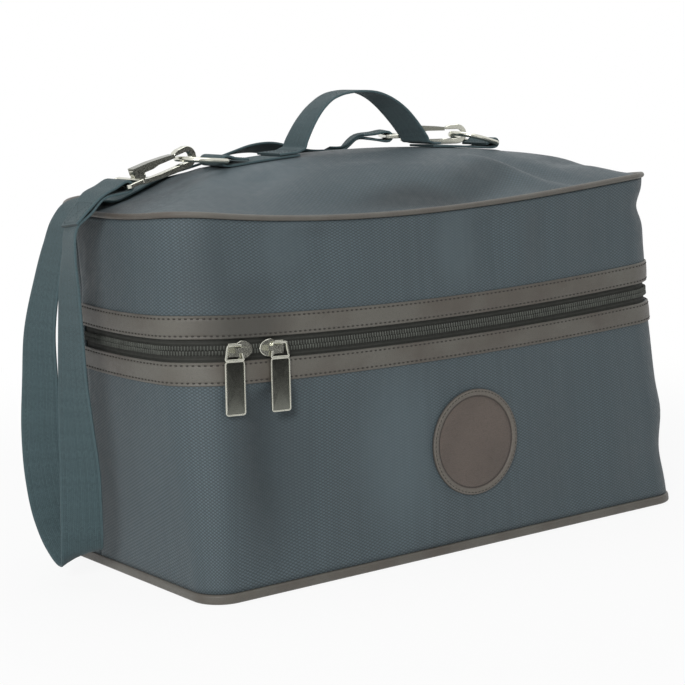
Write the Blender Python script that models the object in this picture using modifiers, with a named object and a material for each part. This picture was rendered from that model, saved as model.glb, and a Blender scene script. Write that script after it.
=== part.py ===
"""Grooming bag: a soft box bag for a rider's brushes, opened by a zip round its front and both ends.

The tub stands on its base panel and the lid folds back on the rear wall. Lengths are in metres, +X runs
along the bag, the front faces -Y, +Z is up, and the origin is the middle of the flat underside.
"""
import math

import bmesh
import bpy
from mathutils import Matrix, Vector

# Driving sizes of the bag's body, measured to the outside of the fabric
LENGTH_BOTTOM = 0.4588
LENGTH_TOP = 0.4540
WIDTH_BOTTOM = 0.2094
WIDTH_TOP = 0.1725
EDGE_HEIGHT = 0.270          # seam between wall and top panel, at the corners
ZIP_HEIGHT = 0.176           # middle of the zip, at the corners
LEAN = -0.00605              # how far the top has slumped along X
CORNER_BOTTOM = 0.022        # radius of the upright corners, at three heights
CORNER_ZIP = 0.038
CORNER_TOP = 0.030
FRONT_SAG = 0.0125           # how far the middle of the front's top edge hangs below its corners
FRONT_SAG_SKEW = 0.4         # the sag lies towards the left at the top edge
FRONT_BULGE = 0.009
END_SAG = 0.006
END_BULGE = 0.008
SAG_POWER = 1.6              # sag grows with height from nothing at the base
SIDE_SEAM = 0.045            # Y of the upright seams where the zip ends and the rear panel starts

# Cloth, leatherette and board
FABRIC = 0.0016
TRIM = 0.0010
TRIM_HEIGHT = 0.0165
TAPE = 0.0008
LINING = 0.0008
BOARD = 0.0020
GAP = 0.0003                 # between pieces that touch
ZIP_SHOWING = 0.0160         # height between the two trims
COIL_HEIGHT = 0.0028
COIL_DEPTH = 0.0020
COIL_PROUD = 0.0004          # coil's face in front of the fabric
BASE_PIPING_HEIGHT = 0.0070
BASE_PIPING_DEPTH = 0.0045
BASE_PIPING_PROUD = 0.0015
TOP_PIPING_RADIUS = 0.0022
PIPING_CLEAR = 0.0004        # between the top panel's edge and the piping
TRIM_TUCK = 0.0005           # wall stops this far short of the trim's zip side
TAPE_MARGIN = 0.0040         # zip tape's hidden edge inside the trim's edge
LINING_MARGIN = 0.0040       # between the linings and the zip's coils
LID_LINING_FALL = 0.0060     # edge of the lid's lining below the seam
CROWN_LINING_DROP = 0.0020   # lining below the top panel

# Crown of the top panel
CREST_RISE = 0.0281          # highest place above the corners of the seam
CREST_MIDDLE = -0.0150       # X of the highest place
CREST_DROP = 0.0201          # fall of the crest half a bag's length from there
SIDE_ROUND = 2.0             # how full the crown is across, at its left end and at its right end
LEFT_ROUND = 1.1
RIGHT_ROUND = 3.0

# Round patch on the front
PATCH_RADIUS = 0.0416
PATCH_THICKNESS = 0.0013
PATCH_BORDER = 0.0055
PATCH_BORDER_RISE = 0.0005
PATCH_EDGE = 0.0006          # slope at each side of the border
PATCH_X = 0.01085
PATCH_Z = 0.0830

# Webbing, handle and rings
WEBBING_WIDTH = 0.030
WEBBING = 0.0018
FOLD_GAP = 0.0005            # between two layers of folded webbing
LEFT_EDGE = LEAN - LENGTH_TOP / 2
RIGHT_EDGE = LEAN + LENGTH_TOP / 2
RING_WIRE = 0.0019           # radius of the wire
RING_INSIDE = 0.0310
RING_DEPTH = 0.0305          # bar's axis to the apex's axis
RING_LEFT = LEFT_EDGE + 0.0869      # X of the bars
RING_RIGHT = RIGHT_EDGE - 0.1086
RING_LIFT = 0.0010           # how far the stiff fold holds each bar up from the panel
RING_TILT_LEFT = 5.0         # degrees, apex up
RING_TILT_RIGHT = 16.0
RING_CORNER = 0.0022
HANDLE_LEFT = RING_LEFT + 0.0694    # X of the handle's legs at the crest
HANDLE_RIGHT = RING_RIGHT - 0.0685
HANDLE_RISE = 0.0425         # middle of the arch above the legs
HANDLE_FULL_LEFT = 2.9       # how square each shoulder of the arch is
HANDLE_FULL_RIGHT = 2.0
HANDLE_TURNS = ((-1.0, 0.0), (-0.5, -0.22), (0.0, -0.08), (0.6, 0.18), (1.0, 0.14))   # place, sideways turn
HANDLE_FOOT_LEFT = 0.022
HANDLE_FOOT_RIGHT = 0.0115
HANDLE_BEND = 0.0012         # size of the bend between foot and leg
HANDLE_HEEL = 0.0050         # where the bend starts on the foot
TAB_TAIL_LEFT = 0.020        # top layer of the folded tab, from the ring's bar
TAB_TAIL_RIGHT = 0.010
TAB_HIDDEN = 0.004           # tab stops this far short of the handle's leg
TAB_END_LIFT = 0.0004        # spring of the top layer, at its end and half way
TAB_MIDDLE_LIFT = 0.0019

# Snap hooks: u runs along the hook towards its bow, w up, v across
HOOK_THICKNESS = 0.0056
HOOK_TILT_LEFT = 17.0        # degrees, bow up
HOOK_TILT_RIGHT = 0.0
HOOK_YAW_RIGHT = 27.0        # degrees, seen from above
HOOK_SHIFT_RIGHT = 0.0126    # Y where the right hook takes its ring
HOOK_SEAT_RIGHT = 0.0008     # ring wire below the hook's middle
THROAT = 0.0037              # half height
BOW_CENTRE = 0.005
ARM_THICKNESS = 0.0043
NOSE_THICKNESS = 0.0040
NECK_BACK = -0.0410
NECK_FRONT = -0.0330
POST_RADIUS = 0.0016
POST_CLEARANCE = 0.0003
POST_HEAD_RADIUS = 0.0027
POST_HEAD = 0.0010
PIN_RADIUS = 0.0008
PIN_U = -0.0365
PIN_W = 0.0039
LEVER_CHEEK = 0.0010
LEVER_TIP = -0.0054
EYE_BAR = 0.0030
EYE_DEPTH = 0.0140
EYE_INSIDE = 0.0312
EYE_NECK = 0.0010            # between the hook's neck and the eye

# Sliders and pull tags: u runs along the zip, v up the wall, w out of it
SLIDER_LENGTH = 0.0195
SLIDER_HEIGHT = 0.0126
SLIDER_NOSE = 0.0095         # length of the rounded nose
SLIDER_TAIL_HEIGHT = 0.0094  # height of the square end
SLIDER_PLATE = 0.0013
SLIDER_CLEAR = 0.0005        # plate in front of the coils
SLIDER_PITCH = 0.0250        # between the two sliders at rest
LIP_LENGTH = 0.0105          # lip under the lower coil, which keeps the slider on the zip
LIP_HEIGHT = 0.0010
LIP_DEPTH = 0.0016           # behind the coil's face
CROWN_TAIL = -0.0070         # ends of the crown that carries the tag
CROWN_NOSE = 0.0056
CROWN_HEIGHT = 0.0036
CROWN_RISE = 0.0046          # top of the crown in front of the plate
CROWN_PLATE = 0.0022
CROWN_LEG = 0.0024
TAG_WIDTH = 0.0160
TAG_LENGTH = 0.0378
TAG_THICKNESS = 0.0016
TAG_FIELD = 0.0004           # depth of the bare panel inside the tag's frame
TAG_FRAME = 0.0011
TAG_CORNER = 0.0022
TAG_YOKE = 0.0070            # from the crown's leg down to the top of the plate
YOKE_TOP_WIDTH = 0.0124
YOKE_BAR = 0.0018            # width of the yoke's sides and of its bar
YOKE_CLEAR = 0.0024          # from the leg's middle up to the yoke's bar

# Facets
ARC_STEPS = 6
FRONT_STEPS = 14
END_STEPS = 4
ARCH_STEPS = 18


def mix(a, b, share):
    return a + (b - a) * share


# Scene, collections and materials

for old in list(bpy.data.objects):
    bpy.data.objects.remove(old, do_unlink=True)

parts = bpy.data.collections.new("grooming_bag")
cutters = bpy.data.collections.new("cutters")
bpy.context.scene.collection.children.link(parts)
bpy.context.scene.collection.children.link(cutters)


def material(name, red, green, blue, roughness, metallic=0.0):
    made = bpy.data.materials.new(name)
    made.use_nodes = True
    shader = made.node_tree.nodes["Principled BSDF"]
    linear = [(c / 255) ** 2.2 for c in (red, green, blue)]
    shader.inputs["Base Color"].default_value = (*linear, 1.0)
    shader.inputs["Roughness"].default_value = roughness
    shader.inputs["Metallic"].default_value = metallic
    return made


FABRIC_BLUE = material("coated_fabric", 82, 91, 97, 0.65)
LEATHERETTE = material("leatherette", 97, 90, 84, 0.55)
ZIP_BLACK = material("zip_tape", 45, 46, 44, 0.8)
COIL_BLACK = material("zip_coil", 60, 61, 58, 0.4)
WEBBING_TEAL = material("webbing", 76, 92, 91, 0.85)
NICKEL = material("nickel", 187, 188, 180, 0.28, 1.0)
DARK_NICKEL = material("dark_nickel", 132, 134, 123, 0.35, 1.0)
LINING_GREY = material("lining", 70, 74, 76, 0.9)
BOARD_GREY = material("board", 96, 92, 84, 0.9)


# Building helpers

def place(name, data, made_of, collection=parts):
    made = bpy.data.objects.new(name, data)
    collection.objects.link(made)
    if made_of:
        data.materials.append(made_of)
    return made


def mesh_object(name, builder, made_of, collection=parts):
    data = bpy.data.meshes.new(name)
    builder.normal_update()
    builder.to_mesh(data)
    builder.free()
    return place(name, data, made_of, collection)


def sheet(name, rows, thickness, made_of, offset=-1.0, closed=False):
    """A cloth or board: an open grid of points, given thickness by Solidify.

    Rows run up the sheet, and along each row the outside is on the right hand.
    """
    builder = bmesh.new()
    grid = [[builder.verts.new(point) for point in row] for row in rows]
    count = len(rows[0])
    for lower, upper in zip(grid, grid[1:]):
        for i in range(count if closed else count - 1):
            j = (i + 1) % count
            builder.faces.new((lower[i], lower[j], upper[j], upper[i]))
    bmesh.ops.remove_doubles(builder, verts=builder.verts, dist=0.00001)
    made = mesh_object(name, builder, made_of)
    solid = made.modifiers.new("thickness", "SOLIDIFY")
    solid.thickness = thickness
    solid.offset = offset
    solid.use_even_offset = True
    return made


def ribbon(name, path, made_of=WEBBING_TEAL, width=WEBBING_WIDTH, thickness=WEBBING):
    """Webbing along a path of (point, direction across)."""
    rows = [[p - w.normalized() * width / 2 for p, w in path], [p + w.normalized() * width / 2 for p, w in path]]
    return sheet(name, rows, thickness, made_of, offset=0.0)


def tube(name, points, radius, made_of, cyclic=False, resolution=2):
    data = bpy.data.curves.new(name, "CURVE")
    data.dimensions = "3D"
    data.bevel_depth = radius
    data.bevel_resolution = resolution
    data.use_fill_caps = not cyclic
    spline = data.splines.new("POLY")
    spline.points.add(len(points) - 1)
    for slot, point in zip(spline.points, points):
        slot.co = (*point, 1.0)
    spline.use_cyclic_u = cyclic
    return place(name, data, made_of)


def plate(name, outlines, thickness, made_of, collection=parts, bevel=0.0):
    """Flat outlines, the first with the others as holes, extruded to a thickness centred on their plane."""
    data = bpy.data.curves.new(name, "CURVE")
    data.dimensions = "2D"
    data.fill_mode = "BOTH"
    data.extrude = thickness / 2 - bevel
    data.bevel_depth = bevel
    data.bevel_resolution = 0
    data.offset = -bevel
    for outline in outlines:
        spline = data.splines.new("POLY")
        spline.points.add(len(outline) - 1)
        for slot, point in zip(spline.points, outline):
            slot.co = (point[0], point[1], 0.0, 1.0)
        spline.use_cyclic_u = True
    drawn = place(name + "_outline", data, None, collection)
    evaluated = drawn.evaluated_get(bpy.context.evaluated_depsgraph_get())
    solid = bpy.data.meshes.new_from_object(evaluated)
    bpy.data.objects.remove(drawn, do_unlink=True)
    solid.name = name
    builder = bmesh.new()
    builder.from_mesh(solid)
    bmesh.ops.remove_doubles(builder, verts=builder.verts, dist=0.000001)
    bmesh.ops.recalc_face_normals(builder, faces=builder.faces)
    bpy.data.meshes.remove(solid)
    return mesh_object(name, builder, made_of, collection)


def rod(name, start, end, radius, made_of, collection=parts, sides=16):
    start, end = Vector(start), Vector(end)
    builder = bmesh.new()
    turn = (end - start).to_track_quat("Z", "Y").to_matrix().to_4x4()
    middle = Matrix.Translation((start + end) / 2)
    bmesh.ops.create_cone(builder, cap_ends=True, segments=sides, radius1=radius, radius2=radius,
                          depth=(end - start).length, matrix=middle @ turn)
    return mesh_object(name, builder, made_of, collection)


def block(name, low, high, made_of, collection=parts):
    low, high = Vector(low), Vector(high)
    builder = bmesh.new()
    bmesh.ops.create_cube(builder, size=1.0)
    for corner in builder.verts:
        corner.co = [mix(low[k], high[k], corner.co[k] + 0.5) for k in range(3)]
    return mesh_object(name, builder, made_of, collection)


def hide_tool(tool):
    tool.hide_render = True
    tool.display_type = "WIRE"


def combine(target, tool, operation):
    step = target.modifiers.new(tool.name, "BOOLEAN")
    step.operation = operation
    step.solver = "EXACT"
    step.object = tool
    hide_tool(tool)


def rounded(target, width, segments=1, angle=50.0):
    bevel = target.modifiers.new("rounding", "BEVEL")
    bevel.width = width
    bevel.segments = segments
    bevel.limit_method = "ANGLE"
    bevel.angle_limit = math.radians(angle)


def pivot(name, point, parent=None):
    empty = bpy.data.objects.new(name, None)
    empty.empty_display_size = 0.01
    empty.location = point
    parts.objects.link(empty)
    if parent:
        empty.location = Vector(point) - parent_place(parent)
        empty.parent = parent
    return empty


def parent_place(empty):
    place_now = empty.location.copy()
    while empty.parent:
        empty = empty.parent
        place_now += empty.location
    return place_now


def hang(child, empty):
    """Parent a finished piece to an unturned empty without moving it."""
    child.parent = empty
    child.matrix_parent_inverse = Matrix.Translation(-parent_place(empty))


def arc(centre, radius, start, end, steps):
    """Points on an arc, angles in degrees, both ends included."""
    turns = [math.radians(mix(start, end, i / steps)) for i in range(steps + 1)]
    return [(centre[0] + radius * math.cos(a), centre[1] + radius * math.sin(a)) for a in turns]


# Form of the walls

(LEFT_END, LEFT_FRONT, FRONT, RIGHT_FRONT, RIGHT_END,
 RIGHT_BACK_END, RIGHT_BACK, BACK, LEFT_BACK, LEFT_BACK_END) = range(10)


def corner_radius(height):
    if height < ZIP_HEIGHT:
        return mix(CORNER_BOTTOM, CORNER_ZIP, height / ZIP_HEIGHT)
    return mix(CORNER_ZIP, CORNER_TOP, (height - ZIP_HEIGHT) / (EDGE_HEIGHT - ZIP_HEIGHT))


def half_length(height):
    return mix(LENGTH_BOTTOM, LENGTH_TOP, height / EDGE_HEIGHT) / 2


def half_width(height):
    return mix(WIDTH_BOTTOM, WIDTH_TOP, height / EDGE_HEIGHT) / 2


def wall_point(side, share, height, out=0.0):
    """A point on the bag's outline, counter-clockwise seen from above, this far out from the fabric's face."""
    a, b, r = half_length(height) + out, half_width(height) + out, corner_radius(height) + out
    straight_x, straight_y, seam = a - r, b - r, SIDE_SEAM
    if side in (LEFT_FRONT, RIGHT_FRONT, RIGHT_BACK, LEFT_BACK):
        start = {LEFT_FRONT: 180, RIGHT_FRONT: 270, RIGHT_BACK: 0, LEFT_BACK: 90}[side]
        turn = math.radians(start + 90 * share)
        sign_x = -1 if side in (LEFT_FRONT, LEFT_BACK) else 1
        sign_y = -1 if side in (LEFT_FRONT, RIGHT_FRONT) else 1
        x = sign_x * straight_x + r * math.cos(turn)
        y = sign_y * straight_y + r * math.sin(turn)
    else:
        ends = {LEFT_END: ((-a, seam), (-a, -straight_y)), FRONT: ((-straight_x, -b), (straight_x, -b)),
                RIGHT_END: ((a, -straight_y), (a, seam)), RIGHT_BACK_END: ((a, seam), (a, straight_y)),
                BACK: ((straight_x, b), (-straight_x, b)), LEFT_BACK_END: ((-a, straight_y), (-a, seam))}[side]
        x, y = (mix(ends[0][k], ends[1][k], share) for k in (0, 1))
    along, across = min(1.0, abs(x) / a) * (1 if x > 0 else -1), min(1.0, abs(y) / b)
    rise = height / EDGE_HEIGHT
    front_share = (1 - along * along) if y < 0 else 0.0
    end_share = 1 - across * across
    skew = 1 - FRONT_SAG_SKEW * rise ** 4 * along
    drop = rise ** SAG_POWER * (FRONT_SAG * front_share * skew + END_SAG * end_share * along ** 4)
    x += (1 if x > 0 else -1) * rise * END_BULGE * end_share * along ** 4
    y -= rise * FRONT_BULGE * front_share
    return Vector((x + LEAN * rise, y, height - drop))


def stations(sides, back_steps=2):
    steps = {LEFT_END: END_STEPS, RIGHT_END: END_STEPS, FRONT: FRONT_STEPS, BACK: back_steps,
             RIGHT_BACK_END: 1, LEFT_BACK_END: 1}
    found = []
    for side in sides:
        count = steps.get(side, ARC_STEPS)
        found += [(side, i / count) for i in range(count)]
    return found + [(sides[-1], 1.0)]


FRONT_SPAN = stations((LEFT_END, LEFT_FRONT, FRONT, RIGHT_FRONT, RIGHT_END))
BACK_SPAN = stations((RIGHT_BACK_END, RIGHT_BACK, BACK, LEFT_BACK, LEFT_BACK_END))
ALL_ROUND = FRONT_SPAN[:-1] + stations((RIGHT_BACK_END, RIGHT_BACK, BACK, LEFT_BACK, LEFT_BACK_END), FRONT_STEPS)[:-1]


def band(name, span, heights, out, thickness, made_of, closed=False):
    rows = [[wall_point(side, share, height, out) for side, share in span] for height in heights]
    return sheet(name, rows, thickness, made_of, closed=closed)


def levels(low, high, steps):
    return [mix(low, high, i / steps) for i in range(steps + 1)]


def crest(x):
    return EDGE_HEIGHT + CREST_RISE - CREST_DROP * ((x - CREST_MIDDLE) / half_length(EDGE_HEIGHT)) ** 2


def spine(point):
    """The nearest point of the crown's middle line to a point of its edge."""
    reach = half_length(EDGE_HEIGHT) - half_width(EDGE_HEIGHT)
    return Vector((min(LEAN + reach, max(LEAN - reach, point.x)), 0.0))


def crown_z(middle, edge, share, drop=0.0):
    """Height of the crown between its middle line, share 0, and its edge, share 1."""
    towards = Vector((edge.x, edge.y)) - middle
    endward = (abs(towards.x) / towards.length) ** 2
    end_round = LEFT_ROUND if towards.x < 0 else RIGHT_ROUND
    power = mix(SIDE_ROUND, end_round, endward)
    x = mix(middle.x, edge.x, share)
    return edge.z + (crest(x) - drop - edge.z) * (1 - share ** power)


def edge_ring(out=0.0, height=EDGE_HEIGHT):
    return [wall_point(side, share, height, out) for side, share in ALL_ROUND]


def crown_rows(out, shares, drop=0.0, height=EDGE_HEIGHT):
    rows = []
    for share in shares:
        row = []
        for edge in edge_ring(out, height):
            middle = spine(edge)
            flat = middle.lerp(Vector((edge.x, edge.y)), share)
            row.append(Vector((flat.x, flat.y, crown_z(middle, edge, share, drop))))
        rows.append(row)
    return rows


CROWN_EDGE = edge_ring()


def crown_height(x, y):
    """Height of the top panel's outside at a place on it."""
    here = Vector((x, y))
    middle = spine(here)
    if (here - middle).length < 0.0001:
        return crest(x)
    for first, second in zip(CROWN_EDGE, CROWN_EDGE[1:] + CROWN_EDGE[:1]):
        p, q = Vector((first.x, first.y)), Vector((second.x, second.y))
        ray, side = here - middle, q - p
        cross = ray.x * side.y - ray.y * side.x
        if abs(cross) < 1e-12:
            continue
        reach = ((p.x - middle.x) * side.y - (p.y - middle.y) * side.x) / cross
        along = ((p.x - middle.x) * ray.y - (p.y - middle.y) * ray.x) / cross
        if reach > 0 and -1e-6 <= along <= 1 + 1e-6:
            return crown_z(middle, first.lerp(second, along), min(1.0, 1 / reach))
    return EDGE_HEIGHT


# Tub

LOWER_TRIM_TOP = ZIP_HEIGHT - ZIP_SHOWING / 2
LOWER_TRIM_BOTTOM = LOWER_TRIM_TOP - TRIM_HEIGHT
UPPER_TRIM_BOTTOM = ZIP_HEIGHT + ZIP_SHOWING / 2
UPPER_TRIM_TOP = UPPER_TRIM_BOTTOM + TRIM_HEIGHT
WALL_START = BASE_PIPING_HEIGHT + GAP
TAPE_OUT = -FABRIC - GAP
COIL_MIDDLE_GAP = GAP / 2
LINING_OUT = TAPE_OUT - TAPE - 2 * GAP
FLOOR_SHARES = (1.0, 0.5, 0.0)


def flat_disc(name, out, low, thickness, made_of):
    """A flat panel that fits the bag's outline at the height of its top face."""
    outline = [wall_point(side, share, low + thickness, out) for side, share in ALL_ROUND]
    plate(name, [[(p.x, p.y) for p in outline]], thickness, made_of).location.z = low + thickness / 2


def build_tub():
    piping_inside = BASE_PIPING_PROUD - BASE_PIPING_DEPTH
    flat_disc("base_panel", piping_inside - GAP, 0.0, BOARD, LEATHERETTE)
    flat_disc("base_board", piping_inside - GAP, BOARD + GAP, BOARD, BOARD_GREY)
    band("base_piping", ALL_ROUND, (0.0, BASE_PIPING_HEIGHT), BASE_PIPING_PROUD, BASE_PIPING_DEPTH, LEATHERETTE,
         closed=True)
    band("lower_wall", FRONT_SPAN, levels(WALL_START, LOWER_TRIM_TOP - TRIM_TUCK, 5), 0.0, FABRIC, FABRIC_BLUE)
    band("rear_wall_lower", seamed(BACK_SPAN), levels(WALL_START, ZIP_HEIGHT - GAP / 2, 4), 0.0, FABRIC, FABRIC_BLUE)
    band("lower_trim", FRONT_SPAN, (LOWER_TRIM_BOTTOM, LOWER_TRIM_TOP), GAP + TRIM, TRIM, LEATHERETTE)
    coil_top = ZIP_HEIGHT - COIL_MIDDLE_GAP
    band("lower_zip_tape", FRONT_SPAN, (LOWER_TRIM_BOTTOM + TAPE_MARGIN, coil_top), TAPE_OUT, TAPE, ZIP_BLACK)
    band("lower_zip_coil", FRONT_SPAN, (coil_top - COIL_HEIGHT, coil_top), COIL_PROUD, COIL_DEPTH, COIL_BLACK)
    walls = [[wall_point(side, share, height, LINING_OUT) for side, share in ALL_ROUND]
             for height in levels(2 * BOARD + 3 * GAP + LINING, ZIP_HEIGHT - COIL_HEIGHT - LINING_MARGIN, 4)]
    floor = []
    for share in reversed(FLOOR_SHARES[1:]):
        ring = []
        for edge in walls[0]:
            middle = spine(edge)
            flat = middle.lerp(Vector((edge.x, edge.y)), share)
            ring.append(Vector((flat.x, flat.y, walls[0][0].z)))
        floor.append(ring)
    sheet("tub_lining", floor + walls, LINING, LINING_GREY, closed=True)


def seamed(span):
    """The rear panel's stations, drawn in a hair from the seams so that it clears the front strip."""
    hair = GAP / (half_width(ZIP_HEIGHT) - corner_radius(ZIP_HEIGHT) - SIDE_SEAM)
    return [(RIGHT_BACK_END, hair)] + span[1:-1] + [(LEFT_BACK_END, 1 - hair)]


def wall_frame(point_at, share, height, side=FRONT, out=0.0):
    """Origin on the wall, and its directions: along to the right, up the wall, and out."""
    here = point_at(side, share, height, out)
    step = 0.001
    along = (point_at(side, share + step, height, out) - point_at(side, share - step, height, out)).normalized()
    up = (point_at(side, share, height + step, out) - point_at(side, share, height - step, out)).normalized()
    outward = along.cross(up).normalized()
    up = outward.cross(along).normalized()
    return here, along, up, outward


def frame_matrix(origin, x_axis, y_axis, z_axis):
    turn = Matrix((x_axis, y_axis, z_axis)).transposed().to_4x4()
    return Matrix.Translation(origin) @ turn


def front_share(x, height):
    straight = half_length(height) - corner_radius(height)
    return (x - LEAN * height / EDGE_HEIGHT + straight) / (2 * straight)


def build_patch():
    here, along, up, outward = wall_frame(wall_point, front_share(PATCH_X, PATCH_Z), PATCH_Z)
    inner, rim = PATCH_RADIUS - PATCH_BORDER, PATCH_THICKNESS + PATCH_BORDER_RISE
    outline = [(0.0, PATCH_THICKNESS), (inner - PATCH_EDGE, PATCH_THICKNESS), (inner, rim),
               (PATCH_RADIUS - PATCH_EDGE, rim), (PATCH_RADIUS, rim - PATCH_EDGE), (PATCH_RADIUS, 0.0), (0.0, 0.0)]
    builder = bmesh.new()
    corners = [builder.verts.new((radius, 0.0, z)) for radius, z in outline]
    for first, second in zip(corners, corners[1:]):
        builder.edges.new((first, second))
    made = mesh_object("round_patch", builder, LEATHERETTE)
    turned = made.modifiers.new("turn", "SCREW")
    turned.steps = 48
    turned.render_steps = 48
    turned.use_merge_vertices = True
    turned.merge_threshold = 0.00001
    made.matrix_world = frame_matrix(here + outward * 2 * GAP, along, up, outward)


# Lid

CROWN_SHARES = (0.0, 0.3, 0.55, 0.76, 0.9, 1.0)
VAULT_SHARES = (0.76, 0.5, 0.25, 0.0)
CROWN_OUT = -TOP_PIPING_RADIUS - PIPING_CLEAR
LID_WALL_TOP = EDGE_HEIGHT - TOP_PIPING_RADIUS - GAP


def build_lid(hinge):
    coil_foot = ZIP_HEIGHT + COIL_MIDDLE_GAP
    top = crown_rows(CROWN_OUT, CROWN_SHARES)
    lining_top = EDGE_HEIGHT - LID_LINING_FALL
    walls = [[wall_point(side, share, height, LINING_OUT) for side, share in ALL_ROUND]
             for height in levels(ZIP_HEIGHT + COIL_HEIGHT + LINING_MARGIN, lining_top, 3)]
    vault = crown_rows(LINING_OUT, VAULT_SHARES, FABRIC + CROWN_LINING_DROP, lining_top)
    made = [
        band("upper_wall", FRONT_SPAN, levels(UPPER_TRIM_BOTTOM + TRIM_TUCK, LID_WALL_TOP, 4), 0.0, FABRIC,
             FABRIC_BLUE),
        band("rear_wall_upper", seamed(BACK_SPAN), levels(ZIP_HEIGHT + GAP / 2, LID_WALL_TOP, 3), 0.0, FABRIC,
             FABRIC_BLUE),
        band("upper_trim", FRONT_SPAN, (UPPER_TRIM_BOTTOM, UPPER_TRIM_TOP), GAP + TRIM, TRIM, LEATHERETTE),
        band("upper_zip_tape", FRONT_SPAN, (coil_foot, UPPER_TRIM_TOP - TAPE_MARGIN), TAPE_OUT, TAPE, ZIP_BLACK),
        band("upper_zip_coil", FRONT_SPAN, (coil_foot, coil_foot + COIL_HEIGHT), COIL_PROUD, COIL_DEPTH, COIL_BLACK),
        tube("top_piping", edge_ring(), TOP_PIPING_RADIUS, LEATHERETTE, cyclic=True, resolution=1),
        sheet("top_panel", list(reversed(top)), FABRIC, FABRIC_BLUE, closed=True),
        sheet("lid_lining", walls + vault, LINING, LINING_GREY, closed=True)]
    for piece in made:
        hang(piece, hinge)


# Webbing on the crest

def crest_point(x, y=0.0, lift=0.0, across=(0.0, -1.0)):
    """A place on the top panel, lifted square to it, with the direction across laid on the panel."""
    turn = Vector(across).normalized()
    side, ahead = turn * WEBBING_WIDTH / 2, Vector((-turn.y, turn.x)) * 0.002
    here = crown_height(x, y)
    slope = crown_height(x + side.x, y + side.y) - crown_height(x - side.x, y - side.y)
    laid = Vector((2 * side.x, 2 * side.y, slope)).normalized()
    along = Vector((ahead.x, ahead.y, crown_height(x + ahead.x, y + ahead.y) - here)).normalized()
    normal = laid.cross(along).normalized()
    if normal.z < 0:
        normal = -normal
    return Vector((x, y, here)) + normal * lift, laid


FIRST_LAYER = 2 * GAP + WEBBING / 2
SECOND_LAYER = FIRST_LAYER + WEBBING + FOLD_GAP
ACROSS = Vector((0.0, -1.0, 0.0))
FOLD_EASE = 0.0002           # room between webbing and wire, over the gap
FOLD_RADIUS = RING_WIRE + GAP + WEBBING / 2 + FOLD_EASE


def ring_bar(x):
    """The ring's bar lies in the fold of its tab."""
    base, _ = crest_point(x, 0.0, FIRST_LAYER)
    return base + Vector((0.0, 0.0, FOLD_RADIUS + RING_LIFT))


def fold(centre, start, turn, radius, steps=8):
    """Path points round a bar that lies along Y, angles in degrees in the XZ plane."""
    points = []
    for i in range(steps + 1):
        angle = math.radians(start + turn * i / steps)
        points.append((centre + Vector((math.cos(angle), 0.0, math.sin(angle))) * radius, ACROSS))
    return points


def build_ring_tab(name, bar_x, inward, tail_length, hinge):
    """Webbing from under the handle's foot, round the ring's bar and back over itself."""
    bar = ring_bar(bar_x)
    reach = abs((HANDLE_LEFT if inward > 0 else HANDLE_RIGHT) - bar_x) - TAB_HIDDEN
    flat = [crest_point(bar_x + inward * reach * k / 5, 0.0, FIRST_LAYER) for k in range(5, 0, -1)]
    turn = fold(bar, 270, -180 * inward, FOLD_RADIUS)
    tail_middle, _ = crest_point(bar_x + inward * tail_length * 0.55, 0.0, SECOND_LAYER + TAB_MIDDLE_LIFT)
    tail_end, _ = crest_point(bar_x + inward * tail_length, 0.0, SECOND_LAYER + TAB_END_LIFT)
    tail = [(tail_middle, ACROSS), (tail_end, ACROSS)]
    hang(ribbon(name, [(p, ACROSS) for p, _ in flat] + turn + tail), hinge)


def handle_turn(place):
    """Direction across the handle, at a place from -1 at the left leg to 1 at the right leg."""
    for (near, first), (far, second) in zip(HANDLE_TURNS, HANDLE_TURNS[1:]):
        if place <= far:
            return Vector((mix(first, second, (place - near) / (far - near)), -1.0, 0.0))
    return ACROSS


def handle_path():
    """Feet on the tabs, and an arch of a power curve between the legs: height falls as the place to a power."""
    left, right = (crest_point(x, 0.0, SECOND_LAYER)[0] for x in (HANDLE_LEFT, HANDLE_RIGHT))
    left_foot = [crest_point(HANDLE_LEFT - back, 0.0, SECOND_LAYER)[0]
                 for back in (HANDLE_FOOT_LEFT, HANDLE_FOOT_LEFT / 2, HANDLE_HEEL)]
    right_foot = [crest_point(HANDLE_RIGHT + ahead, 0.0, SECOND_LAYER)[0]
                  for ahead in (HANDLE_HEEL, HANDLE_FOOT_RIGHT * 0.7, HANDLE_FOOT_RIGHT)]
    path = [(point, ACROSS) for point in left_foot + [left + Vector((-HANDLE_BEND, 0.0, HANDLE_BEND))]]
    for i in range(1, ARCH_STEPS):
        place = math.sin(math.pi * (i / ARCH_STEPS - 0.5))
        full = HANDLE_FULL_LEFT if place < 0 else HANDLE_FULL_RIGHT
        foot = left.lerp(right, (place + 1) / 2)
        path.append((foot + Vector((0.0, 0.0, HANDLE_RISE * (1 - abs(place) ** full))), handle_turn(place)))
    return path + [(point, ACROSS) for point in [right + Vector((HANDLE_BEND, 0.0, HANDLE_BEND))] + right_foot]


# Rings and snap hooks

def ring_frame(bar_x, tilt):
    """The bar's middle, and the direction of the apex: both rings lie towards the left."""
    angle = math.radians(tilt)
    return ring_bar(bar_x), Vector((-math.cos(angle), 0.0, math.sin(angle)))


def ring_point(bar, away, u, v):
    return bar + away * u + Vector((0.0, v, 0.0))


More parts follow.
